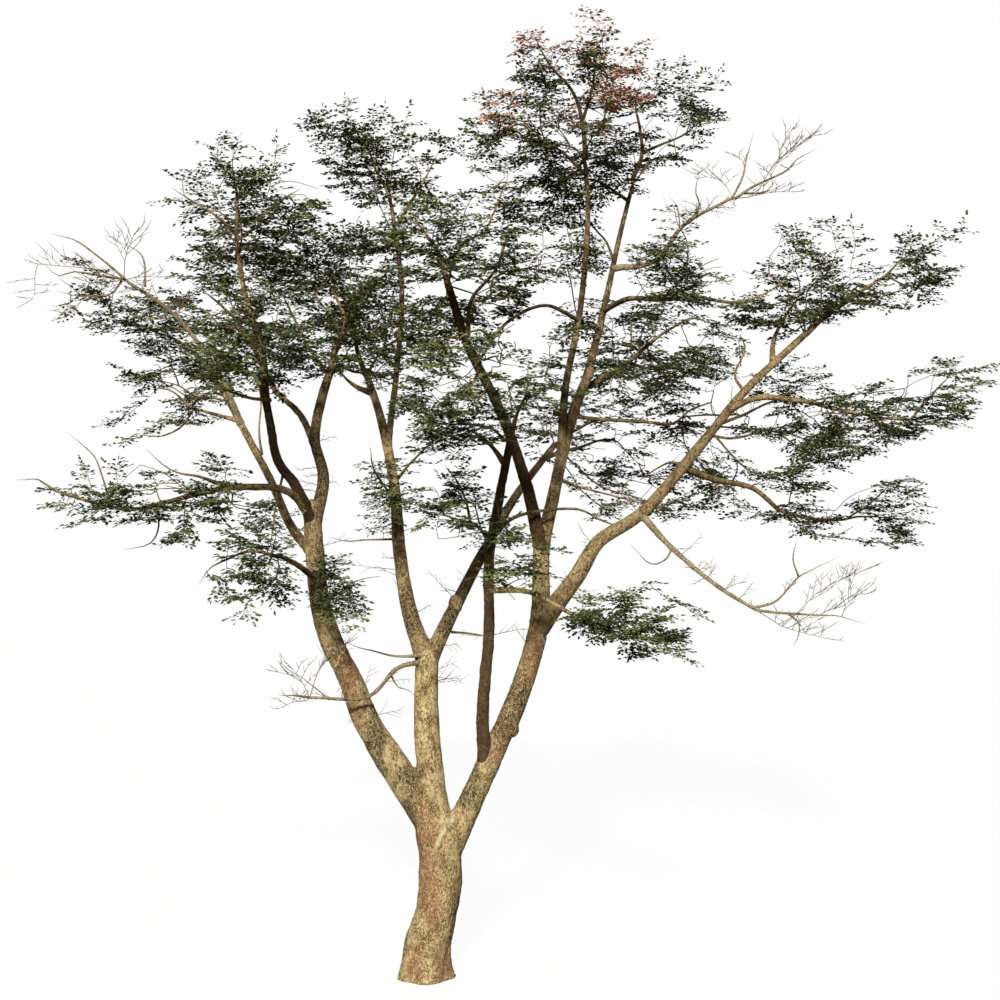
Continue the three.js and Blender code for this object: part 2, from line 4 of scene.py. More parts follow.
import bmesh
import bpy
import numpy as np
from mathutils import Matrix, Vector, noise
from mathutils.kdtree import KDTree


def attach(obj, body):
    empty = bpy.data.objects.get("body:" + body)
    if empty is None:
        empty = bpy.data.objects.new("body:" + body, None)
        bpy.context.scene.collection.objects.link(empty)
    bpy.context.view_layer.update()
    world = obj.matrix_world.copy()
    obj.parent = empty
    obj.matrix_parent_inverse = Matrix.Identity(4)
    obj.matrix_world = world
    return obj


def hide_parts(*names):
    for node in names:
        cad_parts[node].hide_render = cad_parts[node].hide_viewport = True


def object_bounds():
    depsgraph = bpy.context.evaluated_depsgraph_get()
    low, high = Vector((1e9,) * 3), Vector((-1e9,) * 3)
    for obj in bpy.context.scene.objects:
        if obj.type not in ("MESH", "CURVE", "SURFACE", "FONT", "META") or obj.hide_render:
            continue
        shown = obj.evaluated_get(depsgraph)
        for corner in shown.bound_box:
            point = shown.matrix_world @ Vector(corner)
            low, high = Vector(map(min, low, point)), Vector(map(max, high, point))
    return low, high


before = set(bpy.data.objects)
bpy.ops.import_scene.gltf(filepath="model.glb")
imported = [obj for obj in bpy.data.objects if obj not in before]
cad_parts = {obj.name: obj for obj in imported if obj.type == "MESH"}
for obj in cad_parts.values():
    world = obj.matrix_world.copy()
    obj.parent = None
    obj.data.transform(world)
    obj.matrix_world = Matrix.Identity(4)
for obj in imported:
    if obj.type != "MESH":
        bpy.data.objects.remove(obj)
cad_low, cad_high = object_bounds()

# The photograph's view: a level camera in front of the tree, over a wide floor
CAMERA_PLACE = (0.934, -19.36, 5.944)
CAMERA_LENS = 55.76
SENSOR = 36.0
CAMERA_FAR = 500
FLOOR_RADIUS = 120
FLOOR_SIDES = 128
FLOOR_DROP = 0.002
FLOOR_COLOUR = (0.92, 0.92, 0.92)
FLOOR_GLOW = 0.96
GROUND_COLOUR = (0.12, 0.105, 0.075)
FILL_COLOUR = (1.0, 0.92, 0.76)
FILL_STRENGTH = 0.05

# The source's growth rule, with the same driving dimensions
CURVE_TENSION = 0.5
CURVE_STEPS = 200
LEAST_RINGS = 4
ROOT_CAP = 0.3
TIP_CAP = 0.7
NEAR_VERTICAL = 0.9
STEEP = 0.8
COLLAR_SHARE = 0.3
COLLAR_FADE = 12
TAPER_POWER = 0.85
TRUNK_HEIGHT = 2.1
BASE_RADIUS = 0.366
WAIST_RADIUS = 0.256
FORK_RADIUS = 0.272
FLARE_HEIGHT = 0.26
FORK_SWELL_START = 0.72
FORK_DOME_START = 0.88
FORK_DOME_DROP = 0.45
TIP_SPACING = 0.9
LEAST_TIPS = 3
COARSE_SHELLS = (1, 1, 1, 0.55)
TIP_JITTER = 0.2
NEAREST_JOIN = 0.06
OUT_OF_REACH = 99
DETOUR_WEIGHT = 0.35
JOINT_SHARE = 0.36
RISE_SHARE = 0.58
BEND_SHARE = 0.08
SHARPEST_TURN = -0.15
GOLDEN_ANGLE = math.pi * (3 - math.sqrt(5))
SEED_FACTOR = 2654435761
STREAM_FACTOR = 1664525
STREAM_STEP = 1013904223
STREAM_RANGE = 2 ** 32
WORD = STREAM_RANGE - 1

# Finer twigs, grown on by the same rule
CHANCE_SEED = 505
TIP_MATCH = 0.07
FINE_SPACING = 0.234
FINE_SHELLS = (1.06, 0.8, 1.18, 0.58, 0.98, 0.36, 1.12, 0.7)
BARE_SPACING = 0.8
BARE_BENDING = 0.35
LAYER_HEIGHT = 0.21
LAYER_PULL = 0.22
EDGE_MARGIN = 0.2
BOX_MARGIN = 0.1
BOUGH_STEP = 0.09
BOUGH_SIDES = 8
BOUGH_SWELL = 1.1
BOUGH_WANDER = 0.05
WANDER_SCALE = 3.1
WANDER_SEED = 9.7
BOUGH_END = 1.03
BOUGH_THINNING = 0.4
BOUGH_THINNEST = 0.05
THINNING_POWER = 0.6
JOIN_EVERY = 3
JOIN_DISTANCE = 0.27
JOIN_COST = 0.6
TWIG_POINTS = 7
TWIG_WAVE = 0.035
TWIG_TIP_RADIUS = 0.0042
PIPE_POWER = 0.42
TIP_LOAD = 0.2
BARE_ROOT = 1.05
BARE_END = 0.55
LEAFY_END = 0.8
SKY_POINT = 4
GAP_SHARE = 0.85

# Fine bare twigs on the limbs, each with four forks
WISP_STEP = 0.05
WISP_RADII = (0.006, 0.0018)
WISP_RISES = (0.0, 0.9)
WISP_OUTWARD = 0.7
WISP_LENGTHS = (0.5, 1.2)
WISP_BEND = 0.16
FORK_POINTS = (2, 3, 4, 5)
FORK_RADII = (0.0034, 0.0014)
FORK_SPREAD = 0.8
FORK_LENGTHS = (0.2, 0.42)

# Shoots of the dead limbs, and their two forks: place along the shoot and side
DEAD_SHOOT_RADII = (0.0046, 0.0034, 0.0015)
DEAD_SHOOT_CURL = 0.1
DEAD_FORKS = ((0.4, 1), (0.75, -1))
DEAD_FORK_CURL = 0.15
DEAD_FORK_ASIDE = 0.8
DEAD_FORK_STRAY = 0.25
DEAD_FORK_RISE = 0.2
DEAD_FORK_SHARE = 0.5
DEAD_FORK_LENGTHS = (0.6, 1.2)

# A small bough's root: how near its limb is, how wide it starts, and how fast that fades
FINDER_SPACING = 0.06
END_SHARE = 0.9
ROOT_REACH = 0.3
END_FIT = 0.96
WIDEST_START = 2.1
SIDE_FIT = 1.35
END_FADE = 0.3
SIDE_FADE = 0.12
FADE_POWER = 1.3

# Shoots on the twigs, and the leaves on the shoots
SHOOT_SPACING = 0.068
SHOOT_LENGTH = 0.29
SHOOT_RADIUS = 0.003
SHOOT_START = 0.34
SHOOT_SPAN = 0.62
SHOOT_DROOP = 0.12
SHOOTS_SHARE = 0.66
SHOOT_PITCH = 0.62
LAST_SHOOT_PITCH = 0.4
LEVEL_DRAW = 0.42
DEAD_RISE = 0.45
FORWARD = 0.55
FORWARD_SPREAD = 0.25
FORWARD_FLAT = (1, 1, 0.4)
BARE_OUTWARD = 0.75
LAST_FLAT = (1, 1, 0.35)
STANDING_LEAN = (0.35, 0.35, 0)
STANDING_RISE = (0, 0, 0.9)
LAST_SHOOT_SIZE = 0.7
LEAST_SHOOT_SIZE = 0.62
SHOOT_SWELL = 0.45
SWELL_REACH = 0.95
SIZE_START = 0.8
SIZE_SPREAD = 0.4
SHORT_TWIG = 0.45
FEWEST_SHOOTS = 5
FEWEST_BARE_SHOOTS = 3
MOST_SHOOTS = 14
STANDING_HEIGHT = 0.25
STANDING_SHARE = 0.55
# Shares of dark and green sprays fall with height in a mass: painted shade low in it, and lighter leaves
# toward its top as painted light
DARK_SHARE = 0.38
DARK_FALL = 0.2
GREEN_SHARE = 0.78
GREEN_FALL = 0.16
YOUNG_SHARE = 0.88
LEAFY_DEAD_TOP = 8.92
LEAFY_DEAD_END = -4.72
LEAFY_DEAD_SHARE = 0.85
LEAF_SPACING = 0.0465
LEAF_LENGTH = 0.06
LEAF_ASPECT = 0.56
LEAF_LEAN = 0.5
LEAF_NEAR = 0.34
LEAF_FAR = 0.74
LEAF_FAR_WIDTH = 0.72
LEAF_FOLD = 0.35
LEAF_DROOP = 0.1
FAR_FOLD = 0.8
FAR_DROOP = 0.5
LEAF_LENGTHS = (0.7, 1.2)
LEAF_WIDTHS = (0.75, 1.15)
LEAF_TILT = 0.6
LEAF_TILTS = (0.7, 1.0, 0.3)
LEAF_SCATTER = 0.02
FIRST_LEAF = 0.55
BARE_TIP = 0.012
LEAF_ASIDE = 0.03
LEAF_RISE = 0.012
LEAF_YAWS = (0.35, 0.85)
LEAF_DIP = -0.06
LEAF_DIP_SPREAD = 0.13
TIP_LEAF_ASIDE = 0.15
UPRIGHT_WAY = 0.7
LEAF_MARGIN = 0.03
LIMB_CLEARANCE = 0.02
CROWN_MIDDLE = (0.6, 0, 0)
LONGEST_SHOOT = 0.5
SHORTEST_SHOOT = 0.05

# Relief of the old wood: scale and seed of each noise, and depths in metres or as a share of the radius
SMOOTHING = 0.5
LUMPS = ((2.6, 2.6, 1.9), 3.1)
PLATES = ((9, 9, 5), 7.7)
RIDGES = ((24, 24, 9), 1.3)
FLAKES = ((46, 46, 22), 5.9)
BULGES = (9.0, 2.3)
FINE_BULGES = (9.0 * 3.7, 8.1)
LUMP_SHARE = 0.075
PLATE_SHARE = 0.045
RIDGE_DEPTH = 0.0042
RIDGE_RADIUS = 0.2
FLAKE_DEPTH = 0.0028
REGROWTH = 0.0015
ROOT_RIBS = 5
ROOT_RIB_DEPTH = 0.018
ROOT_RIB_HEIGHT = 0.32
ROOT_RIB_TURN = 0.8
ROOT_RIB_TOP = 1.6
FACING_FRONT = -0.2

# Limbs: parent, radius at root and tip, and the bends of the centre line, as in the source
LIMBS = {
    "trunk": (None, (0.366, 0.272), [(0, 0, -0.06), (0.03, 0, 0.4), (0.14, 0, 0.8), (0.19, 0, 1.2),
        (0.18, 0, 1.6), (0.11, 0, 2.1)]),
    "left_stem": ("trunk", (0.185, 0.1), [(0.06, 0, 1.85), (-0.44, 0, 2.7), (-0.73, -0.05, 3.2),
        (-0.92, -0.1, 3.7), (-1.15, -0.2, 4.2), (-1.29, -0.25, 4.7), (-1.35, -0.3, 5.35),
        (-1.38, -0.35, 5.9)]),
    "middle_stem": ("trunk", (0.17, 0.14), [(0.06, 0, 1.85), (0.04, 0.08, 2.7), (0, 0.2, 3.4),
        (0.01, 0.3, 4)]),
    "right_stem": ("trunk", (0.16, 0.098), [(0.24, 0, 1.4), (0.51, 0, 2.05), (0.8, -0.06, 2.7),
        (1.09, -0.1, 3.33), (1.31, -0.15, 3.95), (1.43, -0.2, 4.52), (1.44, -0.2, 5.1), (1.45, -0.2, 5.6)]),
    "left_upright": ("left_stem", (0.078, 0.05), [(-1.37, -0.32, 5.6), (-1.25, -0.2, 6.2), (-1.38, 0, 6.72),
        (-1.31, 0.2, 7.25), (-1.17, 0.4, 7.75)]),
    "left_dark": ("left_stem", (0.072, 0.042), [(-1.37, -0.32, 5.65), (-1.53, -0.6, 6.1),
        (-1.73, -0.8, 6.42), (-1.8, -1, 6.9), (-1.85, -1.3, 7.35)]),
    "left_outer": ("left_stem", (0.062, 0.042), [(-1.36, -0.3, 5.25), (-1.69, 0, 5.63), (-1.93, 0.2, 6.13),
        (-2.23, 0.4, 6.65), (-2.57, 0.6, 7.23)]),
    "left_top_bough": ("left_dark", (0.042, 0.028), [(-1.78, -0.9, 6.7), (-1.83, -1, 7.15),
        (-1.89, -1, 7.75), (-2.09, -0.9, 8.33), (-2.2, -0.8, 8.88)]),
    "left_dead_limb": ("left_outer", (0.04, 0.018), [(-2.4, 0.5, 6.9), (-2.65, 0.3, 7.58), (-3.13, 0, 8.25),
        (-3.69, -0.3, 8.66)]),
    "left_low_bough": ("left_stem", (0.052, 0.04), [(-1.37, -0.32, 5.7), (-1.65, -0.7, 6.06),
        (-2.3, -0.9, 6.1)]),
    "left_hanging_bough": ("left_stem", (0.044, 0.026), [(-1.31, -0.28, 4.95), (-1.45, -0.9, 5.15),
        (-1.65, -1.3, 5.3)]),
    "left_back_bough": ("left_upright", (0.048, 0.032), [(-1.33, -0.1, 6.45), (-1.65, 0.8, 7.03),
        (-2.13, 1.7, 7.45), (-2.5, 2.4, 8.02)]),
    "middle_left_bough": ("middle_stem", (0.112, 0.045), [(0.01, 0.28, 3.9), (-0.23, 0.5, 4.53),
        (-0.37, 0.7, 5.3), (-0.45, 0.9, 6.15), (-0.65, 1.3, 7.01), (-0.9, 1.9, 7.67)]),
    "middle_top_bough": ("middle_left_bough", (0.046, 0.03), [(-0.54, 1.1, 6.64), (-0.5, 1.1, 7.07),
        (-0.43, 1.2, 7.73), (-0.38, 1.4, 8.6), (-0.45, 1.5, 9.45)]),
    "middle_right_bough": ("middle_stem", (0.098, 0.042), [(0.01, 0.28, 3.85), (0.35, 0.6, 4.56),
        (0.73, 1.1, 5.28), (1.15, 1.7, 6), (1.7, 2.3, 6.72)]),
    "low_left_dead_limb": ("middle_stem", (0.036, 0.016), [(0.01, 0.28, 3.9), (-0.35, 0, 3.84),
        (-0.7, -0.4, 3.53), (-1.37, -0.6, 3.55)]),
    "dark_upright": ("right_stem", (0.084, 0.048), [(0.76, -0.06, 2.6), (0.72, -0.3, 3.35),
        (0.8, -0.5, 4.35), (0.8, -0.7, 5.2), (0.93, -1, 6), (1.05, -1.3, 6.6)]),
    "low_right_bough": ("dark_upright", (0.04, 0.024), [(0.8, -0.62, 4.85), (1.29, -1, 4.85),
        (1.8, -1.4, 4.6)]),
    "crossing_limb": ("right_stem", (0.08, 0.042), [(1.45, -0.2, 5.35), (1.24, -0.5, 6.19),
        (0.93, -0.9, 7.02), (0.56, -1.4, 7.74), (0.35, -1.9, 8.37)]),
    "right_leader": ("right_stem", (0.084, 0.06), [(1.45, -0.2, 5.35), (1.59, -0.1, 5.95), (1.72, 0, 6.55),
        (1.87, 0.1, 7.08), (2.07, 0.15, 7.58)]),
    "top_left_limb": ("right_leader", (0.062, 0.03), [(1.7, 0, 6.45), (1.74, -0.2, 7.3), (1.92, -0.3, 8.28),
        (2.01, -0.4, 9.37), (1.97, -0.5, 10.05)]),
    "top_right_limb": ("right_leader", (0.06, 0.03), [(2.04, 0.15, 7.48), (2.26, 0.3, 8.4),
        (2.46, 0.5, 9.29), (2.64, 0.6, 10)]),
    "arching_limb": ("top_left_limb", (0.04, 0.026), [(1.9, -0.3, 8.15), (1.47, -1, 8.25),
        (1.02, -1.9, 7.95), (0.72, -2.55, 7.48)]),
    "level_bough": ("top_right_limb", (0.038, 0.026), [(2.25, 0.3, 8.35), (2.52, -0.3, 8.42),
        (2.83, -0.9, 8.33)]),
    "top_dead_limb": ("top_right_limb", (0.038, 0.018), [(2.38, 0.42, 8.9), (2.9, 0.3, 8.98),
        (3.26, 0.1, 9.41), (3.82, -0.2, 9.69)]),
    "inner_right_bough": ("right_leader", (0.044, 0.03), [(1.99, 0.13, 7.35), (2.4, 0.9, 7.6),
        (2.85, 1.8, 7.95)]),
    "right_bough": ("right_stem", (0.112, 0.04), [(1.43, -0.2, 4.35), (1.88, -0.3, 5.01), (2.16, -0.3, 5.44),
        (2.72, -0.3, 5.82), (3.4, -0.2, 6.6), (4, 0, 7.31), (4.78, 0.2, 8.03)]),
    "right_mid_bough": ("right_bough", (0.044, 0.03), [(3.78, -0.06, 7.05), (4.12, -0.4, 7.2),
        (4.64, -0.8, 7.12)]),
    "right_low_bough": ("right_bough", (0.046, 0.028), [(3.2, -0.23, 6.35), (3.65, 0.2, 6.2),
        (4.2, 0.7, 6.1), (4.6, 1, 5.81)]),
    "right_dead_limb": ("right_bough", (0.042, 0.018), [(2.65, -0.3, 5.78), (3.01, -0.7, 5.36),
        (3.49, -1, 4.94), (3.94, -1.2, 4.65)]),
    "back_right_bough": ("right_bough", (0.044, 0.03), [(2.95, -0.27, 6.08), (3.4, 0.8, 6.53),
        (3.88, 1.9, 6.97)]),
}

# Masses: limb, where on it, and the space as blobs of a centre and half sizes, as in the source
MASSES = {
    "centre_left_leaves": ("left_upright", None, [((-1.2, 0.6, 8.45), (0.75, 1.15, 0.62)),
        ((-1.6, 0.4, 9.05), (0.65, 1, 0.52))]),
    "left_front_leaves": ("left_dark", None, [((-1.75, -2, 7.95), (0.68, 1.2, 0.6)),
        ((-2.15, -2.7, 7.4), (0.65, 1, 0.45))]),
    "left_outer_leaves": ("left_outer", None, [((-3.1, 1, 7.7), (1, 1.2, 0.62)),
        ((-3.55, 0.7, 6.95), (0.7, 0.9, 0.42))]),
    "left_top_leaves": ("left_top_bough", None, [((-2.3, -0.8, 9.6), (0.8, 1.15, 0.75)),
        ((-1.7, -0.2, 9.45), (0.55, 0.8, 0.48))]),
    "left_dead_twigs": ("left_dead_limb", None, [((-4.05, -0.5, 8.85), (0.75, 0.6, 0.48)),
        ((-3.9, -0.5, 8.4), (0.9, 0.7, 0.42))]),
    "left_low_leaves": ("left_low_bough", None, [((-2.8, -1.1, 6.05), (0.75, 0.95, 0.48)),
        ((-3.9, -1.3, 6), (1.05, 0.95, 0.52))]),
    "left_hanging_leaves": ("left_hanging_bough", None, [((-1.85, -1.8, 5.45), (0.55, 0.85, 0.48)),
        ((-2.15, -1.9, 4.95), (0.55, 0.85, 0.4))]),
    "left_stem_leaves": ("left_stem", (-1.27, -0.28, 4.65), [((-0.85, -0.9, 4.75), (0.48, 0.6, 0.43))]),
    "left_back_leaves": ("left_back_bough", None, [((-2.95, 3.15, 8.7), (1.1, 1.2, 0.85)),
        ((-3.55, 2.3, 8.8), (0.75, 0.9, 0.65))]),
    "middle_left_leaves": ("middle_left_bough", None, [((-1.15, 3, 8.8), (0.95, 1.2, 0.9))]),
    "upper_lobe_leaves": ("middle_top_bough", None, [((-0.95, 1.45, 10.55), (0.85, 1.15, 0.75)),
        ((-0.1, 1.7, 10.4), (0.75, 1.05, 0.65))]),
    "middle_front_leaves": ("middle_left_bough", (-0.45, 0.85, 5.95), [
        ((-0.5, 0.05, 6), (0.46, 0.7, 0.62))]),
    "low_left_dead_twigs": ("low_left_dead_limb", None, [((-1.45, -0.6, 3.85), (0.7, 0.5, 0.52))]),
    "back_centre_leaves": ("middle_right_bough", None, [((2.25, 3.35, 6.95), (0.95, 1.1, 0.75)),
        ((2.95, 3.1, 6.3), (0.85, 0.95, 0.5))]),
    "centre_front_leaves": ("dark_upright", None, [((1.15, -1.9, 7.15), (0.6, 0.95, 0.52)),
        ((0.4, -1.9, 6.85), (0.6, 0.85, 0.48))]),
    "dark_upright_leaves": ("dark_upright", (0.8, -0.68, 5.1), [((0.4, -1.35, 5.65), (0.65, 0.75, 0.48)),
        ((1.15, -1.45, 5.1), (0.55, 0.7, 0.42))]),
    "low_right_leaves": ("low_right_bough", None, [((2.2, -1.7, 4.7), (0.6, 0.85, 0.44)),
        ((2.8, -1.7, 4.4), (0.55, 0.75, 0.34))]),
    "crossing_leaves": ("crossing_limb", None, [((0.2, -2.3, 8.9), (0.62, 1.1, 0.65)),
        ((0.95, -2.3, 8.7), (0.62, 1.05, 0.72))]),
    "top_left_leaves": ("top_left_limb", None, [((1.3, -0.8, 10.75), (0.85, 1.3, 1.03)),
        ((2.15, -0.4, 11.02), (0.7, 1.2, 1.02))]),
    "top_right_leaves": ("top_right_limb", None, [((3.25, 0.8, 10.85), (0.85, 1.3, 0.85)),
        ((2.65, 1, 10.4), (0.7, 1.15, 0.7))]),
    "top_dead_twigs": ("top_dead_limb", None, [((4.1, -0.3, 10.05), (1, 0.75, 0.62))]),
    "arching_leaves": ("arching_limb", None, [((0.45, -3.15, 7.15), (0.65, 1, 0.48)),
        ((0.95, -3.15, 7.55), (0.52, 0.9, 0.4))]),
    "level_leaves": ("level_bough", None, [((2.95, -1.8, 8.4), (0.7, 1.1, 0.48)),
        ((2.55, -1.6, 8.95), (0.52, 0.9, 0.42))]),
    "inner_right_leaves": ("inner_right_bough", None, [((3.4, 2.6, 8.05), (1.05, 1.2, 0.6)),
        ((2.65, 2.8, 8.5), (0.72, 0.95, 0.56))]),
    "right_top_leaves": ("right_bough", None, [((4.9, 0.4, 8.9), (0.85, 1.15, 0.78)),
        ((5.7, 0.2, 8.6), (0.7, 0.95, 0.48)), ((6.2, 0, 8.95), (0.6, 0.85, 0.52))]),
    "right_mid_leaves": ("right_mid_bough", None, [((5.2, -1.05, 6.95), (0.85, 1.1, 0.5)),
        ((6.3, -0.85, 7.2), (0.7, 0.85, 0.56))]),
    "right_low_leaves": ("right_low_bough", None, [((5.2, 1.25, 5.75), (0.8, 0.95, 0.44)),
        ((6, 1.1, 5.8), (0.65, 0.85, 0.58))]),
    "right_dead_twigs": ("right_dead_limb", None, [((4.6, -1.3, 4.75), (0.95, 0.65, 0.56))]),
    "back_right_leaves": ("back_right_bough", None, [((4.8, 2.8, 7.35), (1.05, 1.15, 0.72)),
        ((5.45, 2.3, 6.85), (0.75, 0.9, 0.54))]),
}

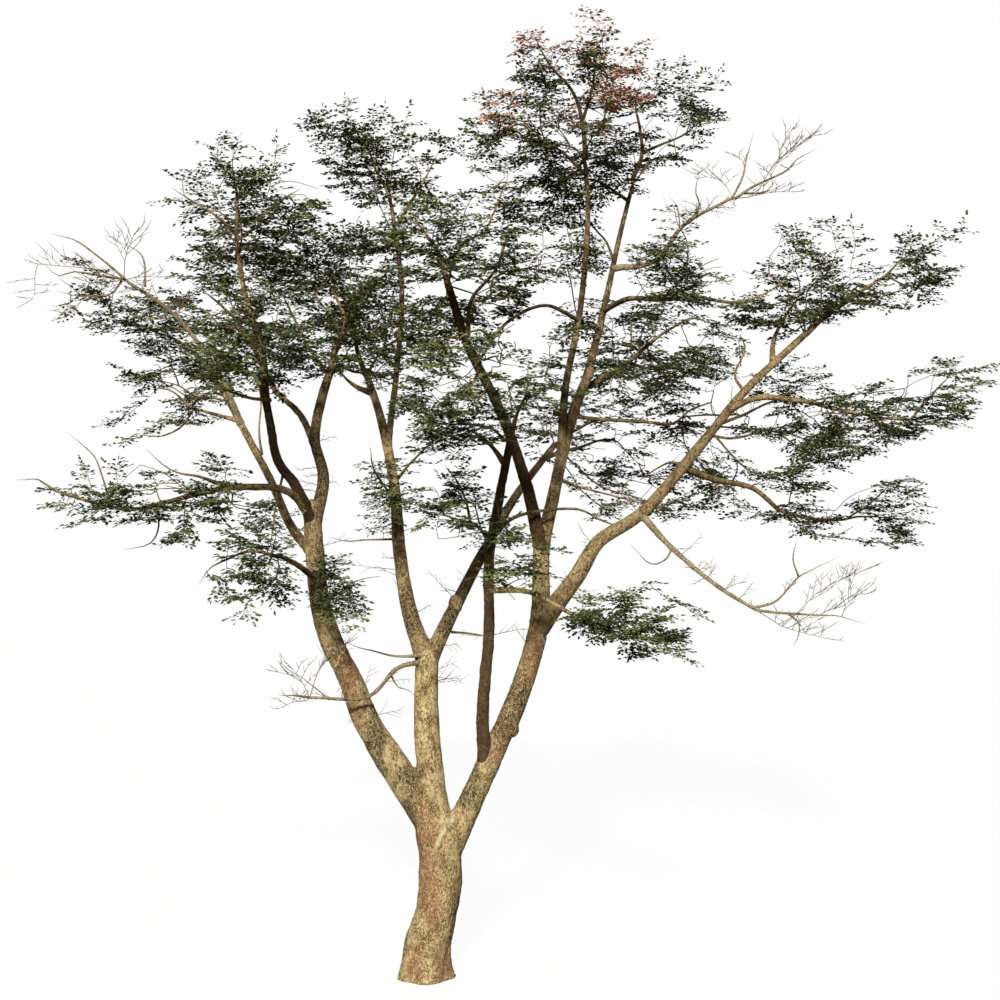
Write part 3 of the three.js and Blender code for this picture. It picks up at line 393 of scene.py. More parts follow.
# Small boughs inside the masses: root and tip radius in millimetres, then the centre line
BOUGHS = {
    "left_low_leaves": [
        (26, 7, [(-2.31, -0.9, 6.1), (-3.02, -1.1, 5.92), (-3.44, -1.3, 5.84), (-4.17, -1.4, 6.03),
            (-4.42, -1.4, 6.16), (-4.68, -1.4, 6.18)]),
        (16, 6, [(-2.34, -0.9, 6.11), (-2.56, -1.3, 6.21), (-2.81, -1.5, 6.28), (-3.11, -1.7, 6.51)]),
        (12, 4, [(-3.1, -1.1, 5.89), (-3.11, -1, 5.59), (-3.22, -1, 5.41), (-3.52, -1.1, 5.37)]),
        (12, 4, [(-3.61, -1.3, 5.91), (-3.72, -1.2, 6.18), (-3.88, -1.1, 6.5), (-4.21, -1, 6.76)])],
    "left_hanging_leaves": [
        (16, 6, [(-1.65, -1.3, 5.28), (-1.93, -1.6, 5.35), (-2.3, -1.8, 5.2), (-2.45, -1.9, 4.99)]),
        (14, 6, [(-1.69, -0.6, 6.27), (-1.74, -0.8, 5.94), (-1.73, -1.2, 5.59), (-1.8, -1.6, 5.26)])],
    "left_outer_leaves": [
        (24, 8, [(-2.44, 0.5, 6.97), (-2.7, 0.6, 7.03), (-3.02, 0.7, 7.14), (-3.36, 0.9, 7.36),
            (-3.67, 1, 7.4)]),
        (28, 8, [(-2.57, 0.6, 7.23), (-2.84, 0.8, 7.61), (-3.21, 1, 7.98), (-3.69, 1.1, 8.19),
            (-4.15, 1.1, 8.35)]),
        (14, 6, [(-3.02, 0.7, 7.14), (-3.19, 0.6, 6.87), (-3.43, 0.5, 6.74), (-3.75, 0.5, 6.76)])],
    "left_dead_twigs": [
        (15, 4, [(-3.68, -0.3, 8.66), (-3.9, -0.4, 8.86), (-4.24, -0.5, 9.09), (-4.52, -0.5, 9.21)]),
        (13, 4, [(-3.47, -0.15, 8.59), (-3.48, -0.1, 8.87), (-3.58, 0, 9.03), (-3.9, 0.1, 9.26)]),
        (14, 4, [(-3.68, -0.3, 8.66), (-3.91, -0.6, 8.66), (-4.16, -0.8, 8.68), (-4.34, -0.8, 8.63),
            (-4.52, -0.9, 8.78)]),
        (12, 4, [(-3.72, -0.3, 8.64), (-3.86, -0.4, 8.45), (-4.18, -0.5, 8.42), (-4.45, -0.5, 8.48)]),
        (10, 4, [(-3.17, 0, 8.29), (-3.49, 0.2, 8.24), (-3.83, 0.3, 8.33), (-4.17, 0.4, 8.27)])],
    "left_front_leaves": [
        (22, 8, [(-1.79, -1.3, 7.34), (-1.78, -1.7, 7.71), (-1.87, -2, 7.96), (-2.04, -2.2, 8.16)]),
        (20, 8, [(-1.78, -1.1, 7.12), (-1.99, -1.6, 7.13), (-2.16, -2.1, 7.19), (-2.41, -2.4, 7.31)])],
    "left_top_leaves": [
        (28, 8, [(-2.21, -0.8, 8.88), (-2.23, -0.8, 9.24), (-2.21, -0.8, 9.66), (-2.27, -0.8, 10.08)]),
        (16, 6, [(-2.22, -0.8, 9.12), (-2.46, -0.9, 9.34), (-2.74, -1, 9.5), (-2.95, -1, 9.62)]),
        (16, 6, [(-2.22, -0.8, 9.06), (-1.96, -0.5, 9.33), (-1.71, -0.3, 9.64), (-1.54, -0.2, 9.78)])],
    "centre_left_leaves": [
        (30, 8, [(-1.21, 0.4, 7.76), (-1.04, 0.4, 8.18), (-1.18, 0.5, 8.57), (-1.4, 0.5, 8.89)]),
        (22, 8, [(-1.29, 0.3, 7.57), (-1.53, 0.2, 7.96), (-1.72, 0.2, 8.34), (-1.92, 0.3, 8.67)])],
    "left_back_leaves": [
        (28, 8, [(-2.51, 2.4, 8.05), (-2.79, 2.8, 8.45), (-3.18, 3, 8.83), (-3.56, 3.1, 9.13)])],
    "middle_left_leaves": [
        (34, 8, [(-0.91, 1.9, 7.66), (-1.09, 2.3, 8.11), (-1.17, 2.7, 8.65), (-1.08, 2.9, 9.18)]),
        (22, 8, [(-0.8, 1.6, 7.39), (-1.04, 1.7, 7.49), (-1.22, 1.9, 7.65), (-1.38, 2.2, 7.89)])],
    "upper_lobe_leaves": [
        (28, 7, [(-0.47, 1.5, 9.45), (-0.55, 1.5, 9.98), (-0.79, 1.5, 10.52), (-1.15, 1.5, 11.2)]),
        (20, 6, [(-0.45, 1.5, 9.65), (-0.22, 1.6, 10.07), (-0.02, 1.7, 10.43), (0.12, 1.7, 10.77)])],
    "middle_front_leaves": [
        (16, 6, [(-0.43, 0.8, 5.94), (-0.59, 0.3, 6.2), (-0.67, 0, 6.44), (-0.71, -0.1, 6.63)]),
        (18, 6, [(-0.4, 0.9, 6.23), (-0.21, 0.7, 6.44), (0.06, 0.5, 6.67), (0.13, 0.4, 6.81)]),
        (13, 4, [(-0.41, 0.7, 5.44), (-0.73, 0.5, 5.43), (-0.98, 0.4, 5.42), (-1.25, 0.3, 5.46)])],
    "low_left_dead_twigs": [
        (14, 4, [(0.05, 0.2, 3.99), (-0.32, 0.1, 3.98), (-0.68, -0.1, 4.07), (-1.04, -0.3, 4.21)]),
        (12, 4, [(-1.37, -0.6, 3.55), (-1.54, -0.7, 3.58), (-1.7, -0.8, 3.61)]),
        (9, 4, [(-0.42, 0, 3.74), (-0.33, -0.1, 3.61), (-0.18, -0.2, 3.59), (-0.11, -0.2, 3.51)]),
        (8, 4, [(-1.14, -0.5, 3.51), (-1.28, -0.5, 3.63), (-1.43, -0.6, 3.76), (-1.57, -0.7, 3.87)])],
    "centre_front_leaves": [
        (24, 8, [(1.05, -1.3, 6.59), (1.11, -1.6, 6.86), (1.22, -1.9, 7.13), (1.27, -2, 7.4)]),
        (20, 8, [(1, -1.1, 6.36), (0.82, -1.5, 6.58), (0.59, -1.8, 6.74), (0.26, -2, 6.78)])],
    "dark_upright_leaves": [
        (20, 8, [(0.81, -0.8, 5.46), (0.64, -1.1, 5.65), (0.41, -1.3, 5.73), (0.12, -1.4, 5.8)]),
        (16, 6, [(0.58, -1.15, 5.69), (0.54, -1.2, 5.94), (0.41, -1.2, 6.18), (0.29, -1.3, 6.35)])],
    "low_right_leaves": [
        (22, 7, [(1.8, -1.4, 4.59), (2.03, -1.5, 4.47), (2.28, -1.7, 4.46), (2.63, -1.8, 4.36)]),
        (14, 6, [(2.17, -1.6, 4.46), (2.35, -1.7, 4.53), (2.35, -1.8, 4.72), (2.52, -1.8, 4.87)])],
    "back_centre_leaves": [
        (24, 8, [(1.72, 2.3, 6.71), (2, 2.7, 6.94), (2.38, 3, 7.1), (2.75, 3.2, 7.18)]),
        (22, 8, [(1.56, 2.1, 6.54), (2.06, 2.5, 6.69), (2.54, 2.8, 6.8), (3.04, 3.1, 6.38)])],
    "crossing_leaves": [
        (24, 7, [(0.35, -1.9, 8.37), (0.23, -2.1, 8.73), (0.07, -2.2, 8.94), (-0.11, -2.3, 9.19)]),
        (24, 7, [(0.56, -1.5, 7.85), (0.61, -1.8, 8.21), (0.88, -2.1, 8.51), (1, -2.2, 8.88),
            (1.02, -2.2, 9.16)])],
    "arching_leaves": [
        (18, 6, [(0.72, -2.6, 7.44), (0.65, -2.9, 7.2), (0.51, -3, 7.04), (0.38, -3.1, 6.84)]),
        (16, 6, [(0.85, -2.3, 7.71), (0.72, -2.7, 7.77), (0.56, -3, 7.69), (0.41, -3.1, 7.57)])],
    "top_left_leaves": [
        (28, 7, [(1.97, -0.5, 10.08), (1.94, -0.5, 10.51), (1.81, -0.5, 10.94), (1.48, -0.6, 11.27),
            (1.36, -0.6, 11.58)]),
        (20, 6, [(1.94, -0.5, 10.57), (2.06, -0.4, 10.96), (2.11, -0.4, 11.33), (2.16, -0.4, 11.7)]),
        (18, 6, [(1.98, -0.5, 9.9), (1.65, -0.8, 10.14), (1.29, -1, 10.21), (0.88, -1.2, 10.28)])],
    "top_right_leaves": [
        (28, 7, [(2.64, 0.6, 10.07), (2.77, 0.7, 10.41), (2.76, 0.8, 10.76), (2.68, 0.8, 11.09),
            (2.76, 0.8, 11.41)]),
        (18, 6, [(2.76, 0.7, 10.44), (3.08, 0.8, 10.59), (3.42, 0.9, 10.78), (3.62, 0.9, 11.11)]),
        (18, 6, [(2.57, 0.6, 9.81), (2.22, 0.5, 10.01), (1.89, 0.4, 10.05), (1.63, 0.3, 10.03)]),
        (16, 6, [(2.39, 0.4, 8.98), (2.29, 0.5, 9.24), (2.09, 0.6, 9.53), (1.94, 0.7, 9.73)])],
    "top_dead_twigs": [
        (16, 4, [(3.84, -0.2, 9.67), (4.11, -0.2, 9.85), (4.44, -0.3, 9.98), (4.63, -0.3, 10.15),
            (4.85, -0.3, 10.26)]),
        (14, 4, [(3.8, -0.2, 9.66), (3.96, -0.1, 9.99), (4.01, 0, 10.26), (4.11, 0.1, 10.57)]),
        (10, 4, [(3.96, -0.2, 9.74), (4.09, -0.4, 9.7), (4.2, -0.5, 9.72), (4.29, -0.5, 9.84)]),
        (12, 4, [(3.32, 0.1, 9.44), (3.43, 0, 9.63), (3.37, -0.1, 9.8), (3.41, -0.2, 10)]),
        (11, 4, [(3.06, 0.2, 9.16), (3.23, 0.4, 9.41), (3.19, 0.5, 9.69), (3.12, 0.6, 9.84)])],
    "level_leaves": [
        (24, 8, [(2.84, -0.9, 8.33), (3.3, -1, 8.34), (3.72, -1, 8.29), (4.15, -0.9, 8.42),
            (4.47, -0.8, 8.76)]),
        (18, 7, [(2.9, 0.25, 8.96), (2.99, -0.4, 8.94), (3.13, -1, 8.77), (3.25, -1.4, 8.55)])],
    "inner_right_leaves": [
        (24, 8, [(2.85, 1.8, 7.97), (3.23, 2.2, 8.28), (3.69, 2.5, 8.51), (4.07, 2.7, 8.44)]),
        (20, 8, [(2.66, 1.5, 7.8), (3, 2, 7.76), (3.53, 2.4, 7.8), (3.98, 2.6, 7.9)])],
    "right_top_leaves": [
        (30, 7, [(4.79, 0.2, 8.03), (5.1, 0.2, 8.32), (5.35, 0.2, 8.47), (5.71, 0.1, 8.71), (6, 0, 8.97),
            (6.31, 0, 9.19)]),
        (22, 7, [(4.36, 0.1, 7.68), (4.39, 0.2, 7.96), (4.55, 0.3, 8.29), (4.76, 0.4, 8.62),
            (4.63, 0.4, 9.13)])],
    "right_mid_leaves": [
        (22, 7, [(4.65, -0.8, 7.12), (5.05, -0.9, 7), (5.44, -1, 6.93), (5.88, -0.9, 6.92),
            (6.33, -0.8, 6.95)]),
        (15, 5, [(5.84, -0.9, 6.92), (6.06, -0.8, 7.14), (6.23, -0.8, 7.35), (6.45, -0.8, 7.6)])],
    "right_low_leaves": [
        (22, 7, [(4.61, 1, 5.81), (4.96, 1.1, 5.71), (5.45, 1.2, 5.68), (5.87, 1.2, 5.74),
            (6.28, 1.1, 5.61)]),
        (14, 5, [(5.51, 1.2, 5.68), (5.82, 1.2, 5.88), (6.02, 1.1, 6.08), (6.09, 1.1, 6.23)])],
    "right_dead_twigs": [
        (16, 4, [(3.95, -1.2, 4.65), (4.32, -1.3, 4.61), (4.72, -1.3, 4.59), (5.2, -1.3, 4.52)]),
        (15, 4, [(3.89, -1.2, 4.68), (4.18, -1.1, 4.75), (4.45, -1, 5.03), (4.65, -0.9, 5.12),
            (4.98, -0.8, 5.27)]),
        (11, 4, [(4.26, -1.3, 4.63), (4.38, -1.4, 4.53), (4.36, -1.5, 4.4), (4.28, -1.5, 4.28)]),
        (10, 4, [(4.47, -1, 5.04), (4.38, -1.1, 5.26), (4.42, -1.2, 5.47)]),
        (12, 4, [(3.01, -0.7, 5.37), (2.9, -0.9, 5.23), (2.7, -1.1, 5.2), (2.43, -1.3, 5.41)])],
    "back_right_leaves": [
        (24, 8, [(3.89, 1.9, 6.97), (4.34, 2.2, 7.13), (4.82, 2.5, 7.36), (5.26, 2.6, 7.5)]),
        (20, 8, [(3.72, 1.7, 6.83), (4.17, 2, 6.8), (4.72, 2.2, 6.95), (5.3, 2.3, 7.01)])],
    "spare": [
        (26, 8, [(1.6, 0, 7.03), (2.06, 0.1, 6.97), (2.77, 0.2, 6.93), (3.12, 0.3, 6.91), (3.36, 0.4, 7.09),
            (3.65, 0.5, 7.2)]),
        (20, 7, [(1.7, -0.1, 6.19), (1.91, 0, 6.11), (2.19, 0.1, 6.04), (2.7, 0.2, 5.91)]),
        (24, 7, [(0.87, -0.8, 5.52), (1.08, -0.7, 5.72), (1.42, -0.5, 5.81), (1.89, -0.3, 5.83),
            (2.17, -0.2, 5.7), (2.45, -0.1, 5.6)]),
        (13, 9, [(0.32, 0.5, 4.25), (0.53, 0.1, 4.27), (0.74, -0.5, 4.29)]),
        (14, 7, [(-2.09, 0.3, 6.52), (-2.14, 0.4, 6.84), (-2.13, 0.5, 7.23), (-2.22, 0.6, 7.55)]),
        (16, 6, [(3.28, -0.2, 6.32), (3.1, 0.1, 6.42), (2.91, 0.4, 6.33), (2.73, 0.5, 6.2)]),
        (18, 6, [(4, 0, 7.29), (3.9, 0.2, 7.52), (4.06, 0.4, 7.86), (4.01, 0.5, 8.06)])],
}

# Spacing of the fine twigs against the usual, where the crown is thicker or thinner
DENSITY = {
    "centre_left_leaves": 0.9, "middle_left_leaves": 0.9, "dark_upright_leaves": 1.05,
    "middle_front_leaves": 1.1, "left_outer_leaves": 1.1, "top_left_leaves": 1.1, "top_right_leaves": 1.33,
    "right_low_leaves": 1.1, "back_right_leaves": 1.1, "left_hanging_leaves": 1.1, "left_dead_twigs": 2.7,
    "top_dead_twigs": 2.8, "right_dead_twigs": 2.5, "low_left_dead_twigs": 3.2,
}
# Where the young reddish leaves are: soft spaces near the crown's top
NEW_LEAVES = [(np.array(spot), np.array(halves)) for spot, halves in (
    ((1.38, -0.7, 11.5), (0.45, 1.2, 0.36)), ((2.08, -0.5, 11.6), (0.32, 1.2, 0.32)),
    ((2.5, -0.3, 11.15), (0.3, 1.2, 0.5)), ((2.25, -0.3, 10.75), (0.34, 1.2, 0.36)),
    ((1.12, -1.1, 10.55), (0.92, 1.1, 0.2)), ((-0.25, 1, 10.7), (0.25, 0.7, 0.2)),
    ((0.2, 0.9, 10.5), (0.2, 0.6, 0.2)))]
# Where the photograph shows sky through the crown: centre and half sizes on the plane of the trunk
GAPS = [
    (1.56, 11.72, 0.2, 0.12), (1.78, 11.64, 0.09, 0.2), (2.5, 11.85, 0.2, 0.12), (-1.1, 10.79, 0.12, 0.1),
    (0.36, 10.86, 0.2, 0.14), (0.62, 11.3, 0.25, 0.16), (0.74, 11.14, 0.2, 0.13), (1, 11.14, 0.18, 0.13),
    (1.77, 11, 0.16, 0.13), (2.05, 10.8, 0.12, 0.11), (2.65, 10.65, 0.14, 0.28), (3.5, 11, 0.15, 0.12),
    (3.6, 11.3, 0.24, 0.16), (-2.97, 10.15, 0.2, 0.2), (-2.95, 9.8, 0.17, 0.17), (-2.72, 10.25, 0.12, 0.12),
    (-2.66, 9.5, 0.15, 0.12), (-1.7, 9.86, 0.12, 0.1), (-1.32, 9.88, 0.34, 0.18), (-1.1, 9.86, 0.14, 0.12),
    (-0.79, 9.55, 0.16, 0.15), (-0.17, 10.2, 0.16, 0.14), (-0.1, 10.5, 0.15, 0.2), (0.2, 10, 0.22, 0.25),
    (0.34, 10.43, 0.15, 0.1), (0.77, 9.52, 0.15, 0.12), (0.93, 9.86, 0.36, 0.18), (1.7, 10.5, 0.13, 0.11),
    (2.65, 10.17, 0.14, 0.12), (2.65, 10.48, 0.13, 0.11), (2.96, 10.48, 0.3, 0.22), (3.27, 9.54, 0.15, 0.13),
    (4.83, 9.55, 0.16, 0.14), (-4.69, 8.63, 0.35, 0.2), (-3.29, 8.63, 0.2, 0.2), (-3, 8.9, 0.17, 0.15),
    (-2.98, 8.6, 0.17, 0.12), (-0.17, 8.6, 0.16, 0.15), (0.3, 8.6, 0.15, 0.12), (0.77, 8.6, 0.16, 0.15),
    (1.4, 9.15, 0.18, 0.14), (1.55, 8.92, 0.2, 0.12), (2.6, 8.97, 0.14, 0.12), (2.65, 8.69, 0.2, 0.28),
    (2.96, 9.25, 0.17, 0.15), (3.5, 8.95, 0.18, 0.14), (4.1, 9.13, 0.35, 0.25), (4.1, 8.75, 0.3, 0.16),
    (5.46, 9.23, 0.2, 0.18), (5.74, 9.05, 0.22, 0.26), (6.08, 8.6, 0.18, 0.15), (-3.9, 8, 0.18, 0.13),
    (-3.6, 7.67, 0.17, 0.15), (-3.3, 7.7, 0.16, 0.12), (-2.6, 8.3, 0.3, 0.12), (-1.7, 8.3, 0.35, 0.12),
    (-1.3, 8.5, 0.18, 0.12), (0.5, 7.5, 0.25, 0.13), (0.77, 7.67, 0.14, 0.14), (0.77, 8.3, 0.13, 0.12),
    (1.08, 7.82, 0.2, 0.33), (1.33, 8, 0.26, 0.2), (1.7, 7.67, 0.13, 0.14), (2.33, 8.29, 0.15, 0.15),
    (2.47, 8.02, 0.18, 0.13), (2.5, 8.36, 0.15, 0.12), (2.96, 7.98, 0.22, 0.13), (3.3, 7.98, 0.14, 0.12),
    (4.2, 8, 0.17, 0.14), (-3.29, 7.04, 0.18, 0.15), (-3.1, 7.36, 0.2, 0.13), (-0.45, 7.36, 0.13, 0.12),
    (0.16, 7.35, 0.2, 0.13), (1.08, 7.35, 0.18, 0.14), (2.33, 7.04, 0.18, 0.17), (2.35, 6.7, 0.24, 0.14),
    (3.5, 7.05, 0.14, 0.12), (3.58, 7.36, 0.13, 0.1), (3.9, 7.04, 0.17, 0.17), (3.93, 7.32, 0.18, 0.3),
    (4.83, 7.07, 0.18, 0.18), (5.46, 7.04, 0.13, 0.1), (6.08, 7.38, 0.32, 0.16), (-4.5, 6.1, 0.17, 0.12),
    (-4.15, 6.15, 0.14, 0.12), (-3.29, 6.1, 0.22, 0.17), (-3, 6.42, 0.15, 0.12), (-2.35, 5.78, 0.18, 0.14),
    (-0.8, 5.9, 0.18, 0.28), (0.15, 6.1, 0.15, 0.14), (0.15, 6.42, 0.17, 0.14), (2.02, 6.5, 0.15, 0.15),
    (2.65, 6.1, 0.16, 0.15), (2.93, 6.42, 0.25, 0.16), (3.3, 5.8, 0.18, 0.14), (3.9, 5.8, 0.15, 0.12),
    (4.35, 6.42, 0.22, 0.12), (5.06, 5.88, 0.18, 0.15), (5.43, 5.63, 0.33, 0.16), (5.46, 6.1, 0.15, 0.13),
    (6.1, 5.85, 0.18, 0.14), (-2.4, 4.86, 0.22, 0.14), (-0.79, 4.86, 0.18, 0.17), (0.31, 5.47, 0.33, 0.15),
    (0.45, 5.2, 0.17, 0.14), (1.1, 4.86, 0.18, 0.15), (2.3, 4.6, 0.14, 0.09),
]
# Masses whose fine twigs fill a closer shape inside the same reach: how many of the mass's own
# blobs are used, and what further blobs there are
CLOSER = {
    "left_stem_leaves": (0, [((-0.98, -0.9, 4.75), (0.46, 0.6, 0.4)),
        ((-1.1, -0.7, 5.05), (0.4, 0.55, 0.42))]),
    "left_low_leaves": (1, [((-3.7, -1.3, 6), (0.82, 0.95, 0.5)), ((-2.34, -0.9, 5.85), (0.5, 0.7, 0.3)),
        ((-1.95, -0.8, 5.82), (0.36, 0.6, 0.28)), ((-2.85, -1.1, 5.5), (0.3, 0.5, 0.24)),
        ((-2.46, -1.1, 6.39), (0.2, 0.35, 0.14)), ((-3.1, -1.3, 5.78), (0.36, 0.5, 0.2))]),
    "right_mid_leaves": (1, [((6.15, -0.85, 7.22), (0.66, 0.85, 0.56)), ((6.42, -0.8, 7), (0.28, 0.5, 0.26)),
        ((5.7, -1, 6.75), (0.35, 0.6, 0.25))]),
    "top_left_leaves": (0, [((1.5, -0.8, 10.62), (0.78, 1.25, 0.95)),
        ((2.12, -0.4, 10.93), (0.7, 1.2, 0.95)), ((1.5, 0, 10.13), (0.62, 0.9, 0.62)),
        ((1.69, 0.2, 9.54), (0.5, 0.75, 0.45)), ((2.56, 0, 11), (0.45, 0.8, 0.45)),
        ((2.1, -0.4, 11.42), (0.25, 0.4, 0.38)), ((1.36, -0.5, 11.05), (0.36, 0.6, 0.3)),
        ((1.65, -0.2, 9.86), (0.42, 0.6, 0.3)), ((2.35, 0.2, 10.2), (0.3, 0.5, 0.3)),
        ((0.8, -0.8, 10.15), (0.3, 0.5, 0.22)), ((0.93, -0.9, 10.42), (0.57, 0.8, 0.38)),
        ((2.05, 0.2, 9.85), (0.45, 0.75, 0.58)), ((1.27, -0.6, 11.5), (0.24, 0.4, 0.34)),
        ((1.38, -0.8, 10.25), (0.3, 0.5, 0.35)), ((1.1, 0, 9.6), (0.42, 0.7, 0.36)),
        ((2.05, 0.5, 9.1), (0.4, 0.7, 0.4))]),
    "top_right_leaves": (0, [((3.25, 0.8, 10.95), (0.8, 1.2, 0.72)), ((2.65, 1, 10.45), (0.65, 1.1, 0.6)),
        ((3.62, 0.8, 11), (0.4, 0.6, 0.4))]),
    "level_leaves": (1, [((2.8, -1.5, 8.75), (0.55, 0.85, 0.36))]),
    "upper_lobe_leaves": (0, [((-0.92, 1.45, 10.62), (0.82, 1.15, 0.68)),
        ((-0.1, 1.7, 10.4), (0.75, 1.05, 0.65)), ((-0.99, 1.2, 9.35), (0.52, 0.8, 0.36)),
        ((-0.55, 1.2, 9.4), (0.4, 0.7, 0.42)), ((-1.02, 1.3, 10.75), (0.38, 0.6, 0.35)),
        ((-1.5, 1.3, 11), (0.24, 0.4, 0.24)), ((-0.8, 1.2, 9.95), (0.26, 0.5, 0.22))]),
    "left_outer_leaves": (1, [((-3.15, 0.7, 7.08), (0.52, 0.7, 0.36)), ((-3.7, 1, 7.65), (0.5, 0.8, 0.4)),
        ((-3.62, 0.8, 8.16), (0.7, 0.8, 0.45)), ((-4, 0.5, 8.22), (0.52, 0.7, 0.36)),
        ((-4.27, 0.5, 8.6), (0.34, 0.5, 0.3))]),
    "left_hanging_leaves": (1, [((-2, -1.8, 5), (0.5, 0.8, 0.36)), ((-1.7, -1.2, 4.9), (0.42, 0.6, 0.34))]),
    "centre_left_leaves": (2, [((-0.335, 0.3, 7.98), (0.62, 0.8, 0.58)),
        ((-1.2, 0.2, 7.68), (0.9, 0.85, 0.38)), ((-0.5, 0.2, 7.4), (0.3, 0.5, 0.3))]),
    "middle_left_leaves": (1, [((0.14, 1.2, 8.2), (0.52, 0.85, 0.58)),
        ((0.02, 0.9, 8.68), (0.9, 0.95, 0.55))]),
    "left_front_leaves": (2, [((-1.62, -0.5, 7.89), (0.55, 0.75, 0.5)),
        ((-1.73, -1.2, 7.36), (0.32, 0.5, 0.26))]),
    "left_top_leaves": (1, [((-1.7, -0.2, 9.45), (0.6, 0.8, 0.52)), ((-2.63, 0, 9), (0.48, 0.8, 0.46)),
        ((-2, -0.4, 8.96), (0.48, 0.75, 0.46)), ((-2.12, -0.3, 9.88), (0.3, 0.5, 0.28)),
        ((-1.45, 0, 9.65), (0.3, 0.5, 0.3))]),
    "crossing_leaves": (2, [((0.9, -0.8, 9.75), (0.45, 0.7, 0.42)), ((1.65, -0.6, 8.8), (0.6, 0.7, 0.38)),
        ((1, -1.2, 8.4), (0.42, 0.7, 0.46)), ((0.65, -1, 8.15), (0.44, 0.6, 0.38)),
        ((1.1, -1, 8.2), (0.28, 0.4, 0.2)), ((1.98, 0.3, 8.15), (0.33, 0.5, 0.3))]),
    "inner_right_leaves": (2, [((2.95, 0.8, 7.44), (0.72, 0.95, 0.54)),
        ((2.35, 0.9, 7.7), (0.45, 0.75, 0.5)), ((3.72, 1.2, 7.76), (0.42, 0.7, 0.36)),
        ((2.96, 1.2, 8.4), (0.3, 0.6, 0.26))]),
    "right_top_leaves": (1, [((5.45, 0.2, 8.52), (0.55, 0.8, 0.32)), ((6.3, 0.2, 8.6), (0.3, 0.5, 0.22)),
        ((6.2, 0, 8.8), (0.5, 0.75, 0.46)), ((6.2, 0, 8.58), (0.42, 0.6, 0.24)),
        ((5, 0.3, 8.32), (0.42, 0.6, 0.22)), ((4.42, 0.3, 8.23), (0.5, 0.75, 0.44)),
        ((4.05, 0.3, 8.35), (0.42, 0.65, 0.34)), ((6, 0.2, 9.15), (0.3, 0.5, 0.25))]),
    "centre_front_leaves": (2, [((0.22, -1, 6.66), (0.52, 0.75, 0.5)),
        ((1.7, -0.8, 7.6), (0.48, 0.65, 0.62)), ((-0.15, -0.8, 7.15), (0.45, 0.65, 0.45)),
        ((0.12, -1.6, 7.65), (0.3, 0.5, 0.25))]),
    "dark_upright_leaves": (2, [((0.22, -0.8, 5.98), (0.6, 0.65, 0.34)),
        ((0.46, -0.9, 6.12), (0.42, 0.6, 0.34)), ((1.05, -1.3, 5.5), (0.3, 0.5, 0.25))]),
    "low_right_leaves": (0, [((2.2, -1.7, 4.65), (0.62, 0.85, 0.46)), ((2.72, -1.7, 4.38), (0.5, 0.7, 0.34)),
        ((1.98, -1.3, 4.5), (0.4, 0.6, 0.36)), ((2.7, -1.6, 4.6), (0.26, 0.4, 0.22)),
        ((2.5, -1.6, 4.17), (0.28, 0.4, 0.14)), ((2.9, -1.6, 4.35), (0.25, 0.4, 0.15))]),
    "back_centre_leaves": (0, [((2.25, 3.2, 6.95), (0.95, 1.05, 0.75)), ((2.95, 3, 6.3), (0.85, 0.95, 0.5)),
        ((3.45, 1.8, 5.84), (0.64, 0.8, 0.32)), ((2.4, 1.6, 5.8), (0.3, 0.5, 0.24)),
        ((2.75, 2.4, 6.75), (0.4, 0.6, 0.3))]),
    "right_low_leaves": (1, [((6, 1.1, 5.8), (0.6, 0.8, 0.58)), ((6.2, 1.1, 5.58), (0.42, 0.6, 0.3)),
        ((4.85, 0.9, 6.4), (0.35, 0.6, 0.26)), ((6.3, 1.1, 6), (0.26, 0.5, 0.24))]),
    "back_right_leaves": (2, [((5.34, 1, 6.6), (0.65, 0.85, 0.44)), ((4.6, 0.8, 6.25), (0.5, 0.7, 0.32)),
        ((3.35, 1.2, 6.95), (0.5, 0.8, 0.48)), ((3.66, 1.2, 6.3), (0.48, 0.75, 0.4)),
        ((3.72, 1.2, 7.45), (0.3, 0.5, 0.2)), ((4.95, 0.8, 6.1), (0.35, 0.5, 0.2)),
        ((3.75, 1.2, 6), (0.3, 0.5, 0.24)), ((4.15, 1.2, 5.8), (0.33, 0.6, 0.24))]),
}

BARE_MASSES = ("left_dead_twigs", "low_left_dead_twigs", "top_dead_twigs", "right_dead_twigs")
UPRIGHT_MASSES = ("top_left_leaves", "top_right_leaves", "upper_lobe_leaves", "left_top_leaves",
                  "right_top_leaves")
MAIN_LIMBS = ("trunk", "left_stem", "middle_stem", "right_stem")
PALE_BOUGHS = ("middle_left_bough", "middle_right_bough", "right_bough", "right_leader", "left_upright",
               "top_left_limb", "top_right_limb")
DARK_LIMBS = ("dark_upright", "crossing_limb", "left_dark")
DEAD_LIMBS = ("left_dead_limb", "low_left_dead_limb", "top_dead_limb", "right_dead_limb")
OTHER_LIMBS = [name for name in LIMBS if name not in MAIN_LIMBS + PALE_BOUGHS + DARK_LIMBS + DEAD_LIMBS]
LEAFY_MASSES = [mass for mass in MASSES if mass not in BARE_MASSES]

# Bare wisps on the limbs: from and to which share of the limb, how many and how long
WISPS = {
    "left_stem": (0.35, 0.95, 12, 0.5), "middle_stem": (0.75, 1, 6, 0.5),
    "middle_left_bough": (0.02, 0.5, 12, 0.55), "middle_right_bough": (0.05, 0.6, 9, 0.5),
    "dark_upright": (0.4, 0.85, 7, 0.45), "right_bough": (0.1, 0.6, 9, 0.4), "right_stem": (0.6, 1, 4, 0.4),
    "left_upright": (0.05, 0.5, 8, 0.4), "top_right_limb": (0.1, 0.5, 6, 0.4),
    "top_dead_limb": (0.1, 0.9, 32, 0.34), "right_dead_limb": (0.3, 0.9, 12, 0.3),
    "low_left_dead_limb": (0.3, 0.95, 8, 0.4), "left_dead_limb": (0.45, 0.95, 14, 0.3),
}
